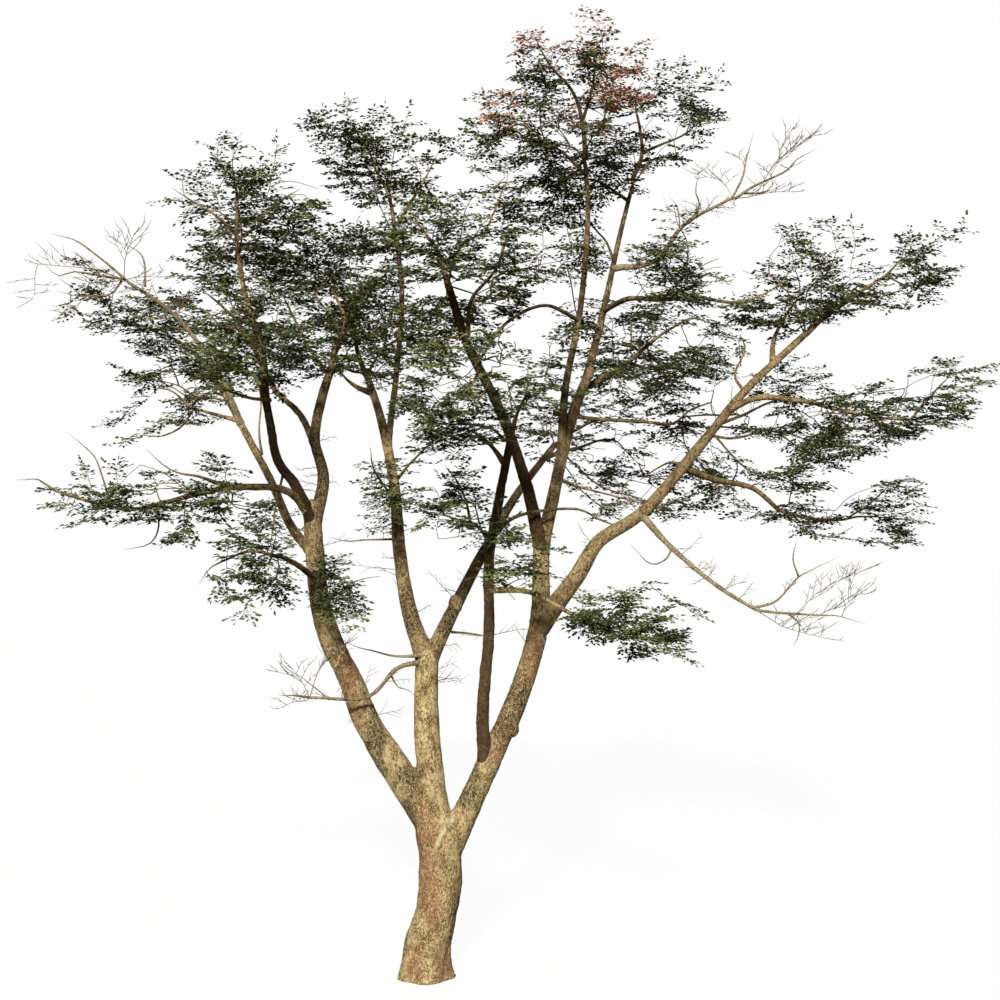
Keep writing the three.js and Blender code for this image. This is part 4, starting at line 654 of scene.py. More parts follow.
# Limbs that the photograph shows slimmer than their solids
SLIMMER = {"top_left_limb": 0.84, "top_right_limb": 0.84, "arching_limb": 0.6}
# Knobs, stubs and swellings of the old wood: centre and half sizes
KNOBS = [
    ((1.1, -0.16, 3.1), (0.075, 0.07, 0.1)), ((0.74, -0.1, 2.98), (0.06, 0.07, 0.1)),
    ((-0.36, 0.7, 5.44), (0.065, 0.07, 0.1)), ((0.36, 0.6, 4.6), (0.09, 0.1, 0.13)),
    ((0.3, 0, 1.86), (0.13, 0.18, 0.16)), ((-0.04, 0.02, 2.1), (0.12, 0.17, 0.2)),
]
# Creases on the front of the trunk: points across and up, then depth and half width
CREASES = [
    ([(0.38, 2.0), (0.31, 1.84), (0.22, 1.68), (0.17, 1.52)], 0.02, 0.032),
    ([(-0.03, 2.28), (-0.02, 2.1), (0.02, 1.95)], 0.02, 0.03),
    ([(0.0, 0.05), (0.05, 0.3), (0.03, 0.55)], 0.016, 0.035),
    ([(0.26, 0.04), (0.27, 0.25), (0.3, 0.5)], 0.014, 0.03),
]


def seeded_random(seed):
    state = (seed * SEED_FACTOR) & WORD

    def draw():
        nonlocal state
        state = (state * STREAM_FACTOR + STREAM_STEP) & WORD
        return state / STREAM_RANGE
    return draw


def unit(vectors):
    return vectors / np.maximum(np.linalg.norm(vectors, axis=-1, keepdims=True), 1e-9)


def run_along(path):
    return np.concatenate([[0], np.cumsum(np.linalg.norm(np.diff(path, axis=0), axis=1))])


def between(before, start, end, after, weight):
    """The source's curve from start to end."""
    leave, arrive = CURVE_TENSION * (end - before), CURVE_TENSION * (after - start)
    return (start + leave * weight + (-3 * start + 3 * end - 2 * leave - arrive) * weight ** 2
            + (2 * start - 2 * end + leave + arrive) * weight ** 3)


def curve(points, shares):
    points = np.asarray(points, float)
    last = len(points) - 1
    places = np.clip(np.asarray(shares, float), 0, 1) * last
    index = np.minimum(places.astype(int), last - 1)
    padded = np.vstack([2 * points[0] - points[1], points, 2 * points[-1] - points[-2]])
    return between(*(padded[index + k] for k in range(4)), (places - index)[:, None])


def fine_curve(points):
    return curve(points, np.linspace(0, 1, CURVE_STEPS + 1))


def evenly_along(points, spacing):
    run = run_along(fine_curve(points))
    count = max(LEAST_RINGS, int(round(run[-1] / spacing)) + 1)
    even = np.interp(np.linspace(0, run[-1], count), run, np.linspace(0, 1, CURVE_STEPS + 1))
    return curve(points, even), even


def limb_radius(shares, radii):
    root, tip = radii
    return (root + (tip - root) * shares ** TAPER_POWER) * (1 + COLLAR_SHARE * np.exp(-COLLAR_FADE * shares))


def trunk_radius(shares):
    height = shares * TRUNK_HEIGHT
    waist = WAIST_RADIUS + (BASE_RADIUS - WAIST_RADIUS) * np.exp(-height / FLARE_HEIGHT)
    swell = np.clip((shares - FORK_SWELL_START) / (1 - FORK_SWELL_START), 0, 1)
    dome = np.clip((shares - FORK_DOME_START) / (1 - FORK_DOME_START), 0, 1)
    return (waist + (FORK_RADIUS - WAIST_RADIUS) * swell) * (1 - FORK_DOME_DROP * dome ** 2)


def ring_faces(rings, sides):
    near = np.arange(rings - 1)[:, None] * sides + np.arange(sides)[None, :]
    far = np.arange(rings - 1)[:, None] * sides + (np.arange(sides)[None, :] + 1) % sides
    quads = np.stack([near, far, far + sides, near + sides], axis=-1).reshape(-1, 4)
    return np.vstack([quads[:, [0, 1, 2]], quads[:, [0, 2, 3]]])


def ring_spots(paths, tangents, across, radii, sides):
    over = np.cross(tangents, across)
    turns = np.linspace(0, 2 * math.pi, sides, endpoint=False)[:, None]
    ring = np.cos(turns) * across[..., None, :] + np.sin(turns) * over[..., None, :]
    return (paths[..., None, :] + ring * radii[..., None, None]).reshape(-1, 3)


def tube(path, radii, sides):
    """A closed tube whose rings twist as little as they can."""
    tangents = unit(np.gradient(path, axis=0))
    side = np.cross(tangents[0], (0.0, 0.0, 1.0) if abs(tangents[0][2]) < NEAR_VERTICAL else (1.0, 0.0, 0.0))
    across = []
    for tangent in tangents:
        side = side - tangent * np.dot(side, tangent)
        side = side / np.linalg.norm(side)
        across.append(side)
    spots = ring_spots(path, tangents, np.array(across), radii, sides)
    ends = [path[0] - tangents[0] * radii[0] * ROOT_CAP, path[-1] + tangents[-1] * radii[-1] * TIP_CAP]
    around = np.arange(sides)
    after = (around + 1) % sides
    count = len(spots)
    last = count - sides
    start = np.stack([np.full(sides, count), after, around], axis=1)
    end = np.stack([np.full(sides, count + 1), last + around, last + after], axis=1)
    return np.vstack([spots, ends]), np.vstack([ring_faces(len(path), sides), start, end])


def thin_tubes(paths, radii, sides):
    """Open tubes along many short paths at once."""
    tangents = unit(np.gradient(paths, axis=1))
    steep = np.abs(unit(paths[:, -1] - paths[:, 0])[:, 2:3]) > STEEP
    reference = np.where(steep, np.array([[1.0, 0.0, 0.0]]), np.array([[0.0, 0.0, 1.0]]))
    across = unit(np.cross(tangents, reference[:, None, :]))
    tubes, rings = paths.shape[:2]
    shift = np.arange(tubes)[:, None, None] * rings * sides
    faces = (ring_faces(rings, sides)[None] + shift).reshape(-1, 3)
    return ring_spots(paths, tangents, across, radii, sides), faces


def joined(parts):
    spots, faces, shift = [], [], 0
    for places, triangles in parts:
        spots.append(places)
        faces.append(triangles + shift)
        shift += len(places)
    return np.vstack(spots), np.vstack(faces)


def placed(name, data):
    made = bpy.data.objects.new(name, data)
    bpy.context.scene.collection.objects.link(made)
    return made


def mesh_object(name, spots, faces, smooth=True):
    mesh = bpy.data.meshes.new(name)
    mesh.vertices.add(len(spots))
    mesh.vertices.foreach_set("co", np.ascontiguousarray(spots, dtype=np.float32).ravel())
    mesh.loops.add(len(faces) * 3)
    mesh.loops.foreach_set("vertex_index", np.ascontiguousarray(faces, dtype=np.int32).ravel())
    mesh.polygons.add(len(faces))
    mesh.polygons.foreach_set("loop_start", np.arange(0, len(faces) * 3, 3, dtype=np.int32))
    mesh.polygons.foreach_set("use_smooth", np.full(len(faces), smooth))
    mesh.update(calc_edges=True)
    mesh.validate()
    return placed(name, mesh)


def table(rows, key, width, kind=np.float32):
    """One property of all of a mesh's vertices, edges or normals."""
    values = np.empty(len(rows) * width, dtype=kind)
    rows.foreach_get(key, values)
    return values.reshape(-1, width)


def moved(mesh, spots):
    mesh.vertices.foreach_set("co", spots.astype(np.float32).ravel())
    mesh.update()


def noise_at(spots, scale, seed):
    grid = np.asarray(spots) * np.asarray(scale) + seed
    return np.array([noise.noise(Vector(spot)) for spot in grid])


# Limbs with the first point set on the parent's centre line
limbs = {}
for name, (parent, radii, points) in LIMBS.items():
    points = np.array(points, float)
    if parent:
        line = fine_curve(limbs[parent][0])
        points[0] = line[np.argmin(np.linalg.norm(line - points[0], axis=1))]
    limbs[name] = (points, radii)


def limb_sizes_at(name, shares):
    sizes = trunk_radius(shares) if name == "trunk" else limb_radius(shares, limbs[name][1])
    return sizes * SLIMMER.get(name, 1)


def limb_side(name):
    while name not in ("left_stem", "middle_stem", "right_stem"):
        name = LIMBS[name][0]
    return name.split("_")[0]


def limb_tube(name, spacing, sides):
    path, shares = evenly_along(limbs[name][0], spacing)
    return tube(path, limb_sizes_at(name, shares), sides)


# Places along all the limbs, with their radii, to find what limb is nearest to a spot
limb_spots, limb_sizes, limb_ends = [], [], []
for name, (points, _) in limbs.items():
    path, shares = evenly_along(points, FINDER_SPACING)
    limb_spots.extend(path)
    limb_sizes.extend(limb_sizes_at(name, shares))
    limb_ends.extend(shares > END_SHARE)
limb_finder = KDTree(len(limb_spots))
for index, spot in enumerate(limb_spots):
    limb_finder.insert(Vector(spot), index)
limb_finder.balance()


def neighbour_mean(spots, edges):
    total = np.zeros_like(spots)
    count = np.bincount(edges.ravel(), minlength=len(spots))[:, None]
    for axis in range(3):
        total[:, axis] = (np.bincount(edges[:, 0], spots[edges[:, 1], axis], len(spots))
                          + np.bincount(edges[:, 1], spots[edges[:, 0], axis], len(spots)))
    return total / np.maximum(count, 1)


def one_skin(name, parts, voxel, knobs):
    """A single closed mesh over joined tubes and knobs."""
    rough = mesh_object(name + "_rough", *joined(parts))
    build = bmesh.new()
    build.from_mesh(rough.data)
    for centre, halves in knobs:
        place = Matrix.LocRotScale(Vector(centre), None, Vector(halves))
        bmesh.ops.create_icosphere(build, subdivisions=3, radius=1.0, matrix=place)
    build.to_mesh(rough.data)
    build.free()
    remesh = rough.modifiers.new("skin", "REMESH")
    remesh.mode = "VOXEL"
    remesh.voxel_size = voxel
    remesh.use_smooth_shade = True
    made = rough.evaluated_get(bpy.context.evaluated_depsgraph_get())
    mesh = bpy.data.meshes.new_from_object(made)
    old = rough.data
    bpy.data.objects.remove(rough)
    bpy.data.meshes.remove(old)
    mesh.name = name
    return mesh


def crease_depths(spots, normals):
    flat = spots[:, [0, 2]]
    total = np.zeros(len(spots))
    for line, depth, width in CREASES:
        line = np.array(line)
        near = np.full(len(spots), np.inf)
        for start, end in zip(line[:-1], line[1:]):
            along = np.clip(((flat - start) @ (end - start)) / np.dot(end - start, end - start), 0, 1)
            near = np.minimum(near, np.linalg.norm(flat - start - along[:, None] * (end - start), axis=1))
        total += depth * np.exp(-(near / width) ** 2) * (normals[:, 1] < FACING_FRONT)
    return total


def weathered(name, parts, voxel, knobs, rounds, strength):
    """One skin over the joined limbs, with smoothed forks and the bark's relief."""
    mesh = one_skin(name, parts, voxel, knobs)
    spots = table(mesh.vertices, "co", 3).astype(float)
    edges = table(mesh.edges, "vertices", 2, np.int32)
    for _ in range(rounds):
        spots = spots + SMOOTHING * (neighbour_mean(spots, edges) - spots)
    moved(mesh, spots)
    normals = table(mesh.vertex_normals, "vector", 3).astype(float)
    sizes = np.array([limb_sizes[limb_finder.find(Vector(spot))[1]] for spot in spots])
    relief = noise_at(spots, *LUMPS) * LUMP_SHARE * sizes + noise_at(spots, *PLATES) * PLATE_SHARE * sizes
    relief += RIDGE_DEPTH * (1 - 2 * np.abs(noise_at(spots, *RIDGES))) * np.sqrt(sizes / RIDGE_RADIUS)
    relief += FLAKE_DEPTH * noise_at(spots, *FLAKES)
    lift = REGROWTH * rounds ** 0.5 + strength * relief - crease_depths(spots, normals)
    turn = np.arctan2(spots[:, 1], spots[:, 0])
    ribs = np.exp(-spots[:, 2] / ROOT_RIB_HEIGHT) * np.cos(ROOT_RIBS * turn + ROOT_RIB_TURN)
    lift += ROOT_RIB_DEPTH * ribs * (spots[:, 2] < ROOT_RIB_TOP)
    spots = spots + normals * lift[:, None]
    spots[:, 2] = np.maximum(spots[:, 2], 0.0)
    moved(mesh, spots)
    return placed(name, mesh)


def rooted(path, sizes):
    """A bough's radii, swelling at its root into the limb's own end or into a collar on its side."""
    _, index, distance = limb_finder.find(Vector(path[0]))
    if distance > ROOT_REACH:
        return sizes
    wanted = sizes[0] * SIDE_FIT
    fade = SIDE_FADE
    if limb_ends[index]:
        wanted = min(limb_sizes[index] * END_FIT, sizes[0] * WIDEST_START)
        fade = END_FADE
    return sizes + max(wanted - sizes[0], 0) * np.exp(-(run_along(path) / fade) ** FADE_POWER)


def rough_limb(name, spacing, sides, roughness):
    spots, faces = limb_tube(name, spacing, sides)
    path = evenly_along(limbs[name][0], spacing)[0]
    centre = np.vstack([np.repeat(path, sides, axis=0), path[0], path[-1]])
    swell = 1 + roughness * noise_at(spots, *BULGES) + 0.5 * roughness * noise_at(spots, *FINE_BULGES)
    return centre + (spots - centre) * swell[:, None], faces


def even_points(space, spacing, draw, shells, start, margin=0.0):
    """Tips spread over each blob's shells, with their heights in it, from the nearest to start on."""
    tips = []
    for centre, halves in space:
        a, b, c = halves
        count = max(LEAST_TIPS, int(round((a * b + b * c + c * a) / spacing ** 2)))
        a, b, c = (max(half - margin, half * 0.5) for half in halves)
        for i in range(count):
            height = 1 - (2 * i + 1) / count
            level = math.sqrt(1 - height * height)
            turn = i * GOLDEN_ANGLE + (draw() - 0.5) * TIP_JITTER * 2 * math.pi
            out = shells[i % len(shells)]
            tips.append((np.array([centre[0] + math.cos(turn) * level * out * a,
                                   centre[1] + math.sin(turn) * level * out * b,
                                   centre[2] + height * out * c]), height * out))
    tips.sort(key=lambda item: float(np.linalg.norm(item[0] - start)))
    return tips


class Growth:
    """Nodes that twigs join, and the twigs grown from them, by the source's rule."""

    def __init__(self, start, heading, bending):
        self.bending = bending
        self.places = [start]
        self.headings = [heading]
        self.runs = [0.0]
        self.parents = [-1]
        self.loads = [0]
        self.twigs = []

    def add(self, place, heading, run, parent):
        self.places.append(place)
        self.headings.append(heading)
        self.runs.append(run)
        self.parents.append(parent)
        self.loads.append(0)
        return len(self.places) - 1

    def grow(self, tip):
        gaps = tip - np.array(self.places)
        lengths = np.linalg.norm(gaps, axis=1)
        turns = np.sum(unit(gaps) * np.array(self.headings), axis=1)
        costs = lengths + DETOUR_WEIGHT * np.array(self.runs) + np.where(turns < SHARPEST_TURN, lengths, 0)
        costs[lengths < NEAREST_JOIN] = OUT_OF_REACH
        index = int(np.argmin(costs))
        start, heading, length = self.places[index], self.headings[index], lengths[index]
        bend = start + (tip - start) * JOINT_SHARE + heading * length * BEND_SHARE * self.bending
        bend[2] += (RISE_SHARE - JOINT_SHARE) * (tip[2] - start[2])
        out = unit(tip - bend)
        joint = self.add(bend, out, self.runs[index] + length * JOINT_SHARE, index)
        end = self.add(tip, out, self.runs[index] + length, joint)
        self.twigs.append((index, joint, end))
        while end >= 0:
            self.loads[end] += 1
            end = self.parents[end]


def in_gap(place):
    """Whether a place is in line with one of the crown's gaps, seen from the photograph's camera."""
    share = CAMERA_PLACE[1] / (CAMERA_PLACE[1] - place[1])
    across = CAMERA_PLACE[0] + (place[0] - CAMERA_PLACE[0]) * share
    up = CAMERA_PLACE[2] + (place[2] - CAMERA_PLACE[2]) * share
    return any(((across - x) / a) ** 2 + ((up - z) / c) ** 2 < 1 for x, z, a, c in GAPS)


def shows_sky(line):
    return in_gap(line[-1]) or in_gap(line[SKY_POINT])


def twig_lines(starts, bends, ends):
    lines = []
    for place in np.linspace(0, 1, TWIG_POINTS) * 2:
        if place <= 1:
            lines.append(between(2 * starts - bends, starts, bends, ends, place))
        else:
            lines.append(between(starts, bends, ends, 2 * ends - bends, place - 1))
    return np.stack(lines, axis=1)


def start_of(limb, root, space):
    """Where a mass leaves its limb, and which way."""
    line = fine_curve(limbs[limb][0])
    if root is None:
        return line[-1], unit(line[-1] - line[-2])
    start = line[np.argmin(np.linalg.norm(line - np.array(root), axis=1))]
    return start, unit(np.array(space[0][0]) - start)


def grow_boughs(mass, seed, growth, tubes):
    """The mass's small boughs, with places along them that twigs can join."""
    for root_mm, tip_mm, points in BOUGHS.get(mass, []):
        path, shares = evenly_along(points, BOUGH_STEP)
        sizes = (root_mm + (tip_mm - root_mm) * shares) / 1000
        sizes = sizes * np.clip((BOUGH_END - shares) / BOUGH_THINNING, BOUGH_THINNEST, 1) ** THINNING_POWER
        wander = np.stack([noise_at(path, WANDER_SCALE, k * WANDER_SEED + seed) for k in range(3)], axis=1)
        path = path + wander * BOUGH_WANDER * np.minimum(shares, 1)[:, None]
        tubes.append(tube(path, rooted(path, sizes * BOUGH_SWELL), BOUGH_SIDES))
        run = float(np.linalg.norm(path[0] - growth.places[0]))
        before = -1
        for k in range(2, len(path), JOIN_EVERY):
            run += JOIN_DISTANCE
            before = growth.add(path[k], unit(path[k] - path[k - 1]), run * JOIN_COST, before)


def grow_mass(mass, seed, growth, draw, tubes):
    """Twigs that the solid has too, then boughs and finer twigs; gives the height of each fine tip."""
    space = MASSES[mass][2]
    start = growth.places[0]
    bare = mass in BARE_MASSES
    corners = table(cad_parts[mass].data.vertices, "co", 3)
    for tip, _ in even_points(space, TIP_SPACING, draw, COARSE_SHELLS, start):
        if np.min(np.linalg.norm(corners - tip, axis=1)) < TIP_MATCH:
            growth.grow(tip)
        draw()
    grow_boughs(mass, seed, growth, tubes)
    kept, more = CLOSER.get(mass, (len(space), []))
    spacing = FINE_SPACING * (BARE_SPACING if bare else 1) * DENSITY.get(mass, 1)
    heights = {}
    for tip, height in even_points(space[:kept] + more, spacing, draw, FINE_SHELLS, start, EDGE_MARGIN):
        layer = round(tip[2] / LAYER_HEIGHT) * LAYER_HEIGHT
        tip[2] += (layer - tip[2]) * LAYER_PULL * (not bare)
        growth.grow(tip)
        heights[len(growth.places) - 1] = height
    return heights


def twig_shapes(growth, bare):
    """Paths, radii and loads of the grown twigs."""
    places = np.array(growth.places)
    loads = np.array(growth.loads, float)
    first, joint, end = np.array(growth.twigs).T
    lines = twig_lines(places[first], places[joint], places[end])
    steps = np.linspace(0, 1, TWIG_POINTS)[None, :]
    reach = np.linalg.norm(lines[:, -1] - lines[:, 0], axis=1)[:, None]
    for axis in (2, 0):
        swing = chance.uniform(-1, 1, (len(lines), 1))
        lines[:, :, axis] += TWIG_WAVE * reach * np.sin(steps * math.pi * 2) * swing
    near = TWIG_TIP_RADIUS * loads[joint] ** PIPE_POWER * (BARE_ROOT if bare else 1)
    far = TWIG_TIP_RADIUS * np.maximum(loads[end], TIP_LOAD) ** PIPE_POWER * (BARE_END if bare else LEAFY_END)
    return lines, near[:, None] + (far - near)[:, None] * steps, loads[joint]


def tone_at(place, height, draw):
    """Index of a spray's tone: darker low in its mass as painted shade and lighter toward its top as painted
    light, otherwise at random; reddish where the leaves are young.
    """
    chosen = draw()
    tone = "light"
    if chosen < DARK_SHARE - DARK_FALL * height:
        tone = "dark"
    elif chosen < GREEN_SHARE - GREEN_FALL * height:
        tone = "green"
    young = any(np.sum(((place - spot) / halves) ** 2) < 1 for spot, halves in NEW_LEAVES)
    return TONES.index("reddish" if young and draw() < YOUNG_SHARE else tone)


def shoots_along(line, stands, leafless, draw):
    """Shoots to both sides of a twig and one at its end: place, way and length."""
    length = np.linalg.norm(line[-1] - line[0])
    ahead = unit(line[-1] - line[-2])
    level = unit((ahead * STANDING_LEAN + STANDING_RISE if stands else ahead * LAST_FLAT) + 1e-6)
    fewest = FEWEST_BARE_SHOOTS if leafless else FEWEST_SHOOTS
    count = int(np.clip(round(SHOOTS_SHARE * length / SHOOT_SPACING), fewest, MOST_SHOOTS))
    turned = draw() < 0.5
    for k in range(count + 1):
        last = k == count
        share = 1.0 if last else SHOOT_START + SHOOT_SPAN * k / max(count - 1, 1)
        spot = share * (TWIG_POINTS - 1)
        index = min(int(spot), TWIG_POINTS - 2)
        place = line[index] + (line[index + 1] - line[index]) * (spot - index)
        along = unit(line[index + 1] - line[index])
        if stands:
            turn = (k + turned) * GOLDEN_ANGLE
            aside = np.array([math.cos(turn), math.sin(turn), 0])
        else:
            aside = unit(np.array([-along[1], along[0], 0.0]) + 1e-6) * (1 if (k + turned) % 2 else -1)
        pitch = (draw() - LEVEL_DRAW) * (LAST_SHOOT_PITCH if last else SHOOT_PITCH)
        if last:
            way = unit(level + np.array([0, 0, pitch]))
            size = LAST_SHOOT_SIZE
        else:
            forward = unit(along * FORWARD_FLAT) * (FORWARD + FORWARD_SPREAD * draw())
            outward = aside * (BARE_OUTWARD if leafless else 1)
            way = unit(forward + outward + np.array([0, 0, pitch + DEAD_RISE * leafless]))
            size = LEAST_SHOOT_SIZE + SHOOT_SWELL * math.sin(math.pi * min(share * SWELL_REACH, 1))
        size *= SHOOT_LENGTH * (SIZE_START + SIZE_SPREAD * draw()) * min(1, SHORT_TWIG + length)
        yield *place, *way, size


def wisps(name, low_share, high_share, count, reach):
    """Fine bare twigs with four forks each, along a limb."""
    path = evenly_along(limbs[name][0], WISP_STEP)[0]
    steps = np.linspace(0, 1, TWIG_POINTS)[:, None]
    strands, sizes = [], []
    for _ in range(count):
        index = int(chance.uniform(low_share, high_share) * (len(path) - 2)) + 1
        along = unit(path[index + 1] - path[index - 1])
        out = unit(np.append(chance.normal(0, 1, 2), chance.uniform(*WISP_RISES)))
        out = unit(out - along * np.dot(out, along) * WISP_OUTWARD)
        length = reach * chance.uniform(*WISP_LENGTHS)
        bend = chance.normal(0, WISP_BEND, 3) * length
        strand = path[index] + out * length * steps + bend * steps ** 2
        strands.append(strand)
        sizes.append(np.linspace(*WISP_RADII, TWIG_POINTS))
        for fork in FORK_POINTS:
            way = unit(out + unit(np.cross(out, chance.normal(0, 1, 3))) * FORK_SPREAD)
            strands.append(strand[fork] + way * length * chance.uniform(*FORK_LENGTHS) * steps)
            sizes.append(np.linspace(*FORK_RADII, TWIG_POINTS))
    return thin_tubes(np.array(strands), np.array(sizes), 3)


# Boughs, twigs and shoots of every mass, dealt to the side of the crown that they grow on
chance = np.random.default_rng(CHANCE_SEED)
SIDES = ("left", "middle", "right")
TONES = ("dark", "green", "light", "reddish")
twig_tubes = {side: [] for side in SIDES}
dead_tubes = []
bough_tubes = []
shoots = []
dead_shoots = []

for order, (mass, (limb, root, space)) in enumerate(MASSES.items()):
    draw = seeded_random(order + 1)
    bare = mass in BARE_MASSES
    side = limb_side(limb)
    growth = Growth(*start_of(limb, root, space), BARE_BENDING if bare else 1.0)
    heights = grow_mass(mass, order, growth, draw, dead_tubes if bare else bough_tubes)
    lines, radii, loads = twig_shapes(growth, bare)
    dropped = np.array([not bare and shows_sky(line) and draw() < GAP_SHARE for line in lines])
    kept = ~(dropped & (loads <= 1))
    (dead_tubes if bare else twig_tubes[side]).append(thin_tubes(lines[kept], radii[kept], 4 if bare else 3))
    for number, line in enumerate(lines):
        if dropped[number]:
            continue
        height = heights.get(growth.twigs[number][2], 0.3)
        leafy = line[-1][2] < LEAFY_DEAD_TOP and line[-1][0] > LEAFY_DEAD_END and number > 3
        leafless = bare and not (mass == "left_dead_twigs" and leafy and draw() < LEAFY_DEAD_SHARE)
        stands = mass in UPRIGHT_MASSES and height > STANDING_HEIGHT and draw() < STANDING_SHARE
        tone = tone_at(line[-1], height, draw)
        (dead_shoots if leafless else shoots).extend(
            (*shoot, tone, SIDES.index(side), stands) for shoot in shoots_along(line, stands, leafless, draw))

# Fine bare twigs along the wood below the leaves and along the dead limbs
for name, wisp in WISPS.items():
    (dead_tubes if name in DEAD_LIMBS else twig_tubes[limb_side(name)]).append(wisps(name, *wisp))

# Small boughs that carry no twigs of their own
for root_mm, tip_mm, points in BOUGHS["spare"]:
    path, shares = evenly_along(points, BOUGH_STEP)
    sizes = (root_mm + (tip_mm - root_mm) * shares) / 1000
    bough_tubes.append(tube(path, rooted(path, sizes * BOUGH_SWELL), BOUGH_SIDES))

# Shoots that would stand too far out of the solids' box are left out
shoots = np.array(shoots)
ends = shoots[:, 0:3] + shoots[:, 3:6] * (shoots[:, 6:7] + LEAF_MARGIN)
ends[:, 2] += BOX_MARGIN
inside = (ends > np.array(cad_low) - BOX_MARGIN) & (ends < np.array(cad_high) + BOX_MARGIN)
shoots = shoots[np.all(inside, axis=1)]


def shoot_lines(rows, droop):
    starts, ways, sizes = rows[:, 0:3], rows[:, 3:6], rows[:, 6]
    steps = np.array([0, 0.5, 1.0])
    lines = starts[:, None, :] + ways[:, None, :] * (sizes[:, None] * steps[None, :])[:, :, None]
    lines[:, :, 2] -= droop * sizes[:, None] * steps[None, :] ** 2
    return lines


def leaf_places(rows):
    """Where leaves start, in pairs along each shoot and one at its tip, and which way they point."""
    distances = (np.arange(int(LONGEST_SHOOT / LEAF_SPACING) + 1) + FIRST_LEAF)[None, :] * LEAF_SPACING
    used = distances < rows[:, 6:7] - BARE_TIP
    shoot, slot = np.nonzero(used)
    shoot = np.concatenate([np.repeat(shoot, 2), np.arange(len(rows))])
    hand = np.concatenate([np.tile([1.0, -1.0], used.sum()), np.zeros(len(rows))])
    spread = np.concatenate([np.repeat(distances[0, slot], 2), rows[:, 6]])
    count = len(hand)
    spread = spread + (hand != 0) * chance.uniform(-LEAF_SCATTER, LEAF_SCATTER, count)
    way = rows[shoot, 3:6]
    base = rows[shoot, 0:3] + way * spread[:, None]
    base[:, 2] -= SHOOT_DROOP * spread ** 2 / np.maximum(rows[shoot, 6], SHORTEST_SHOOT)
    nothing = np.zeros(count)
    flat = unit(np.stack([-way[:, 1], way[:, 0], nothing], axis=1) + 1e-6)
    stands = rows[shoot, 9] * (np.abs(way[:, 2]) > UPRIGHT_WAY)
    turn = chance.uniform(0, 2 * math.pi, count)
    around = np.stack([np.cos(turn), np.sin(turn), nothing], axis=1)
    aside = np.where(stands[:, None] > 0, around, flat * hand[:, None])
    base = base + aside * chance.uniform(0, LEAF_ASIDE, count)[:, None]
    base[:, 2] += (hand != 0) * chance.normal(0, LEAF_RISE, count)
    yaw = chance.uniform(*LEAF_YAWS, count)[:, None]
    dip = np.stack([nothing, nothing, chance.normal(LEAF_DIP, LEAF_DIP_SPREAD, count)], axis=1)
    return base, unit(way * yaw + aside * np.where(hand == 0, TIP_LEAF_ASIDE, 1)[:, None] + dip)


def leaf_fan(rows):
    """Leaves on the shoots, as folded lens shapes of four faces that lean outward."""
    base, heading = leaf_places(rows)
    count = len(base)
    outward = base - np.array(CROWN_MIDDLE)
    outward[:, 2] = 0
    tilt = chance.normal(0, LEAF_TILT, (count, 3)) * np.array(LEAF_TILTS)
    up = np.array([0.0, 0.0, 1.0]) + unit(outward) * LEAF_LEAN + tilt
    across = unit(np.cross(up, heading))
    lift = np.cross(heading, across)
    long = LEAF_LENGTH * chance.uniform(*LEAF_LENGTHS, count)[:, None]
    wide = long * LEAF_ASPECT * 0.5 * chance.uniform(*LEAF_WIDTHS, count)[:, None]
    keep = np.ones(count, bool)
    for index, spot in enumerate(base + heading * long * 0.5):
        _, nearest, distance = limb_finder.find(Vector(spot))
        keep[index] = distance > limb_sizes[nearest] + LIMB_CLEARANCE
    fold = lift * wide * LEAF_FOLD
    droop = lift * long * LEAF_DROOP
    near = base + heading * long * LEAF_NEAR + fold
    far = base + heading * long * LEAF_FAR + fold * FAR_FOLD - droop * FAR_DROOP
    tip = base + heading * long - droop
    aside = across * wide
    far_aside = aside * LEAF_FAR_WIDTH
    corners = [base, near + aside, far + far_aside, tip, far - far_aside, near - aside]
    corners = np.stack(corners, axis=1)[keep]
    pattern = np.array([[0, 2, 1], [0, 3, 2], [0, 4, 3], [0, 5, 4]])
    faces = pattern[None] + (np.arange(len(corners)) * 6)[:, None, None]
    return corners.reshape(-1, 3), faces.reshape(-1, 3)


# Materials
class Channel:
    """What a node gives, with arithmetic that adds the nodes for it."""

    def __init__(self, socket):
        self.socket = socket

    def worked(self, operation, other):
        made = node(self.socket.id_data, "Math", {0: self, 1: other}, operation=operation)
        return Channel(made.outputs["Value"])

    def __add__(self, other):
        return self.worked("ADD", other)

    def __sub__(self, other):
        return self.worked("SUBTRACT", other)

    def __mul__(self, other):
        return self.worked("MULTIPLY", other)

    def stepped(self, low, high):
        """Rises smoothly from 0 at low to 1 at high."""
        inputs = {"Value": self, "From Min": low, "From Max": high}
        made = node(self.socket.id_data, "MapRange", inputs, interpolation_type="SMOOTHSTEP")
        return Channel(made.outputs["Result"])

    def blend(self, first, second):
        """The first tone where this is 0, and the second where it is 1."""
        made = node(self.socket.id_data, "Mix", {"Factor": self, "A": first, "B": second}, data_type="RGBA")
        return Channel(made.outputs["Result"])


def wired(made, inputs):
    """Sets a node's inputs to numbers or tones, or links them to what another node gives."""
    for key, value in inputs.items():
        socket = made.inputs[key]
        if isinstance(value, Channel):
            made.id_data.links.new(value.socket, socket)
        else:
            socket.default_value = (*value, 1) if socket.type == "RGBA" else value


def node(tree, kind, inputs, **settings):
    made = tree.nodes.new("ShaderNode" + kind)
    for key, value in settings.items():
        setattr(made, key, value)
    wired(made, inputs)
    return made


def empty_tree(owner):
    owner.use_nodes = True
    owner.node_tree.nodes.clear()
    return owner.node_tree


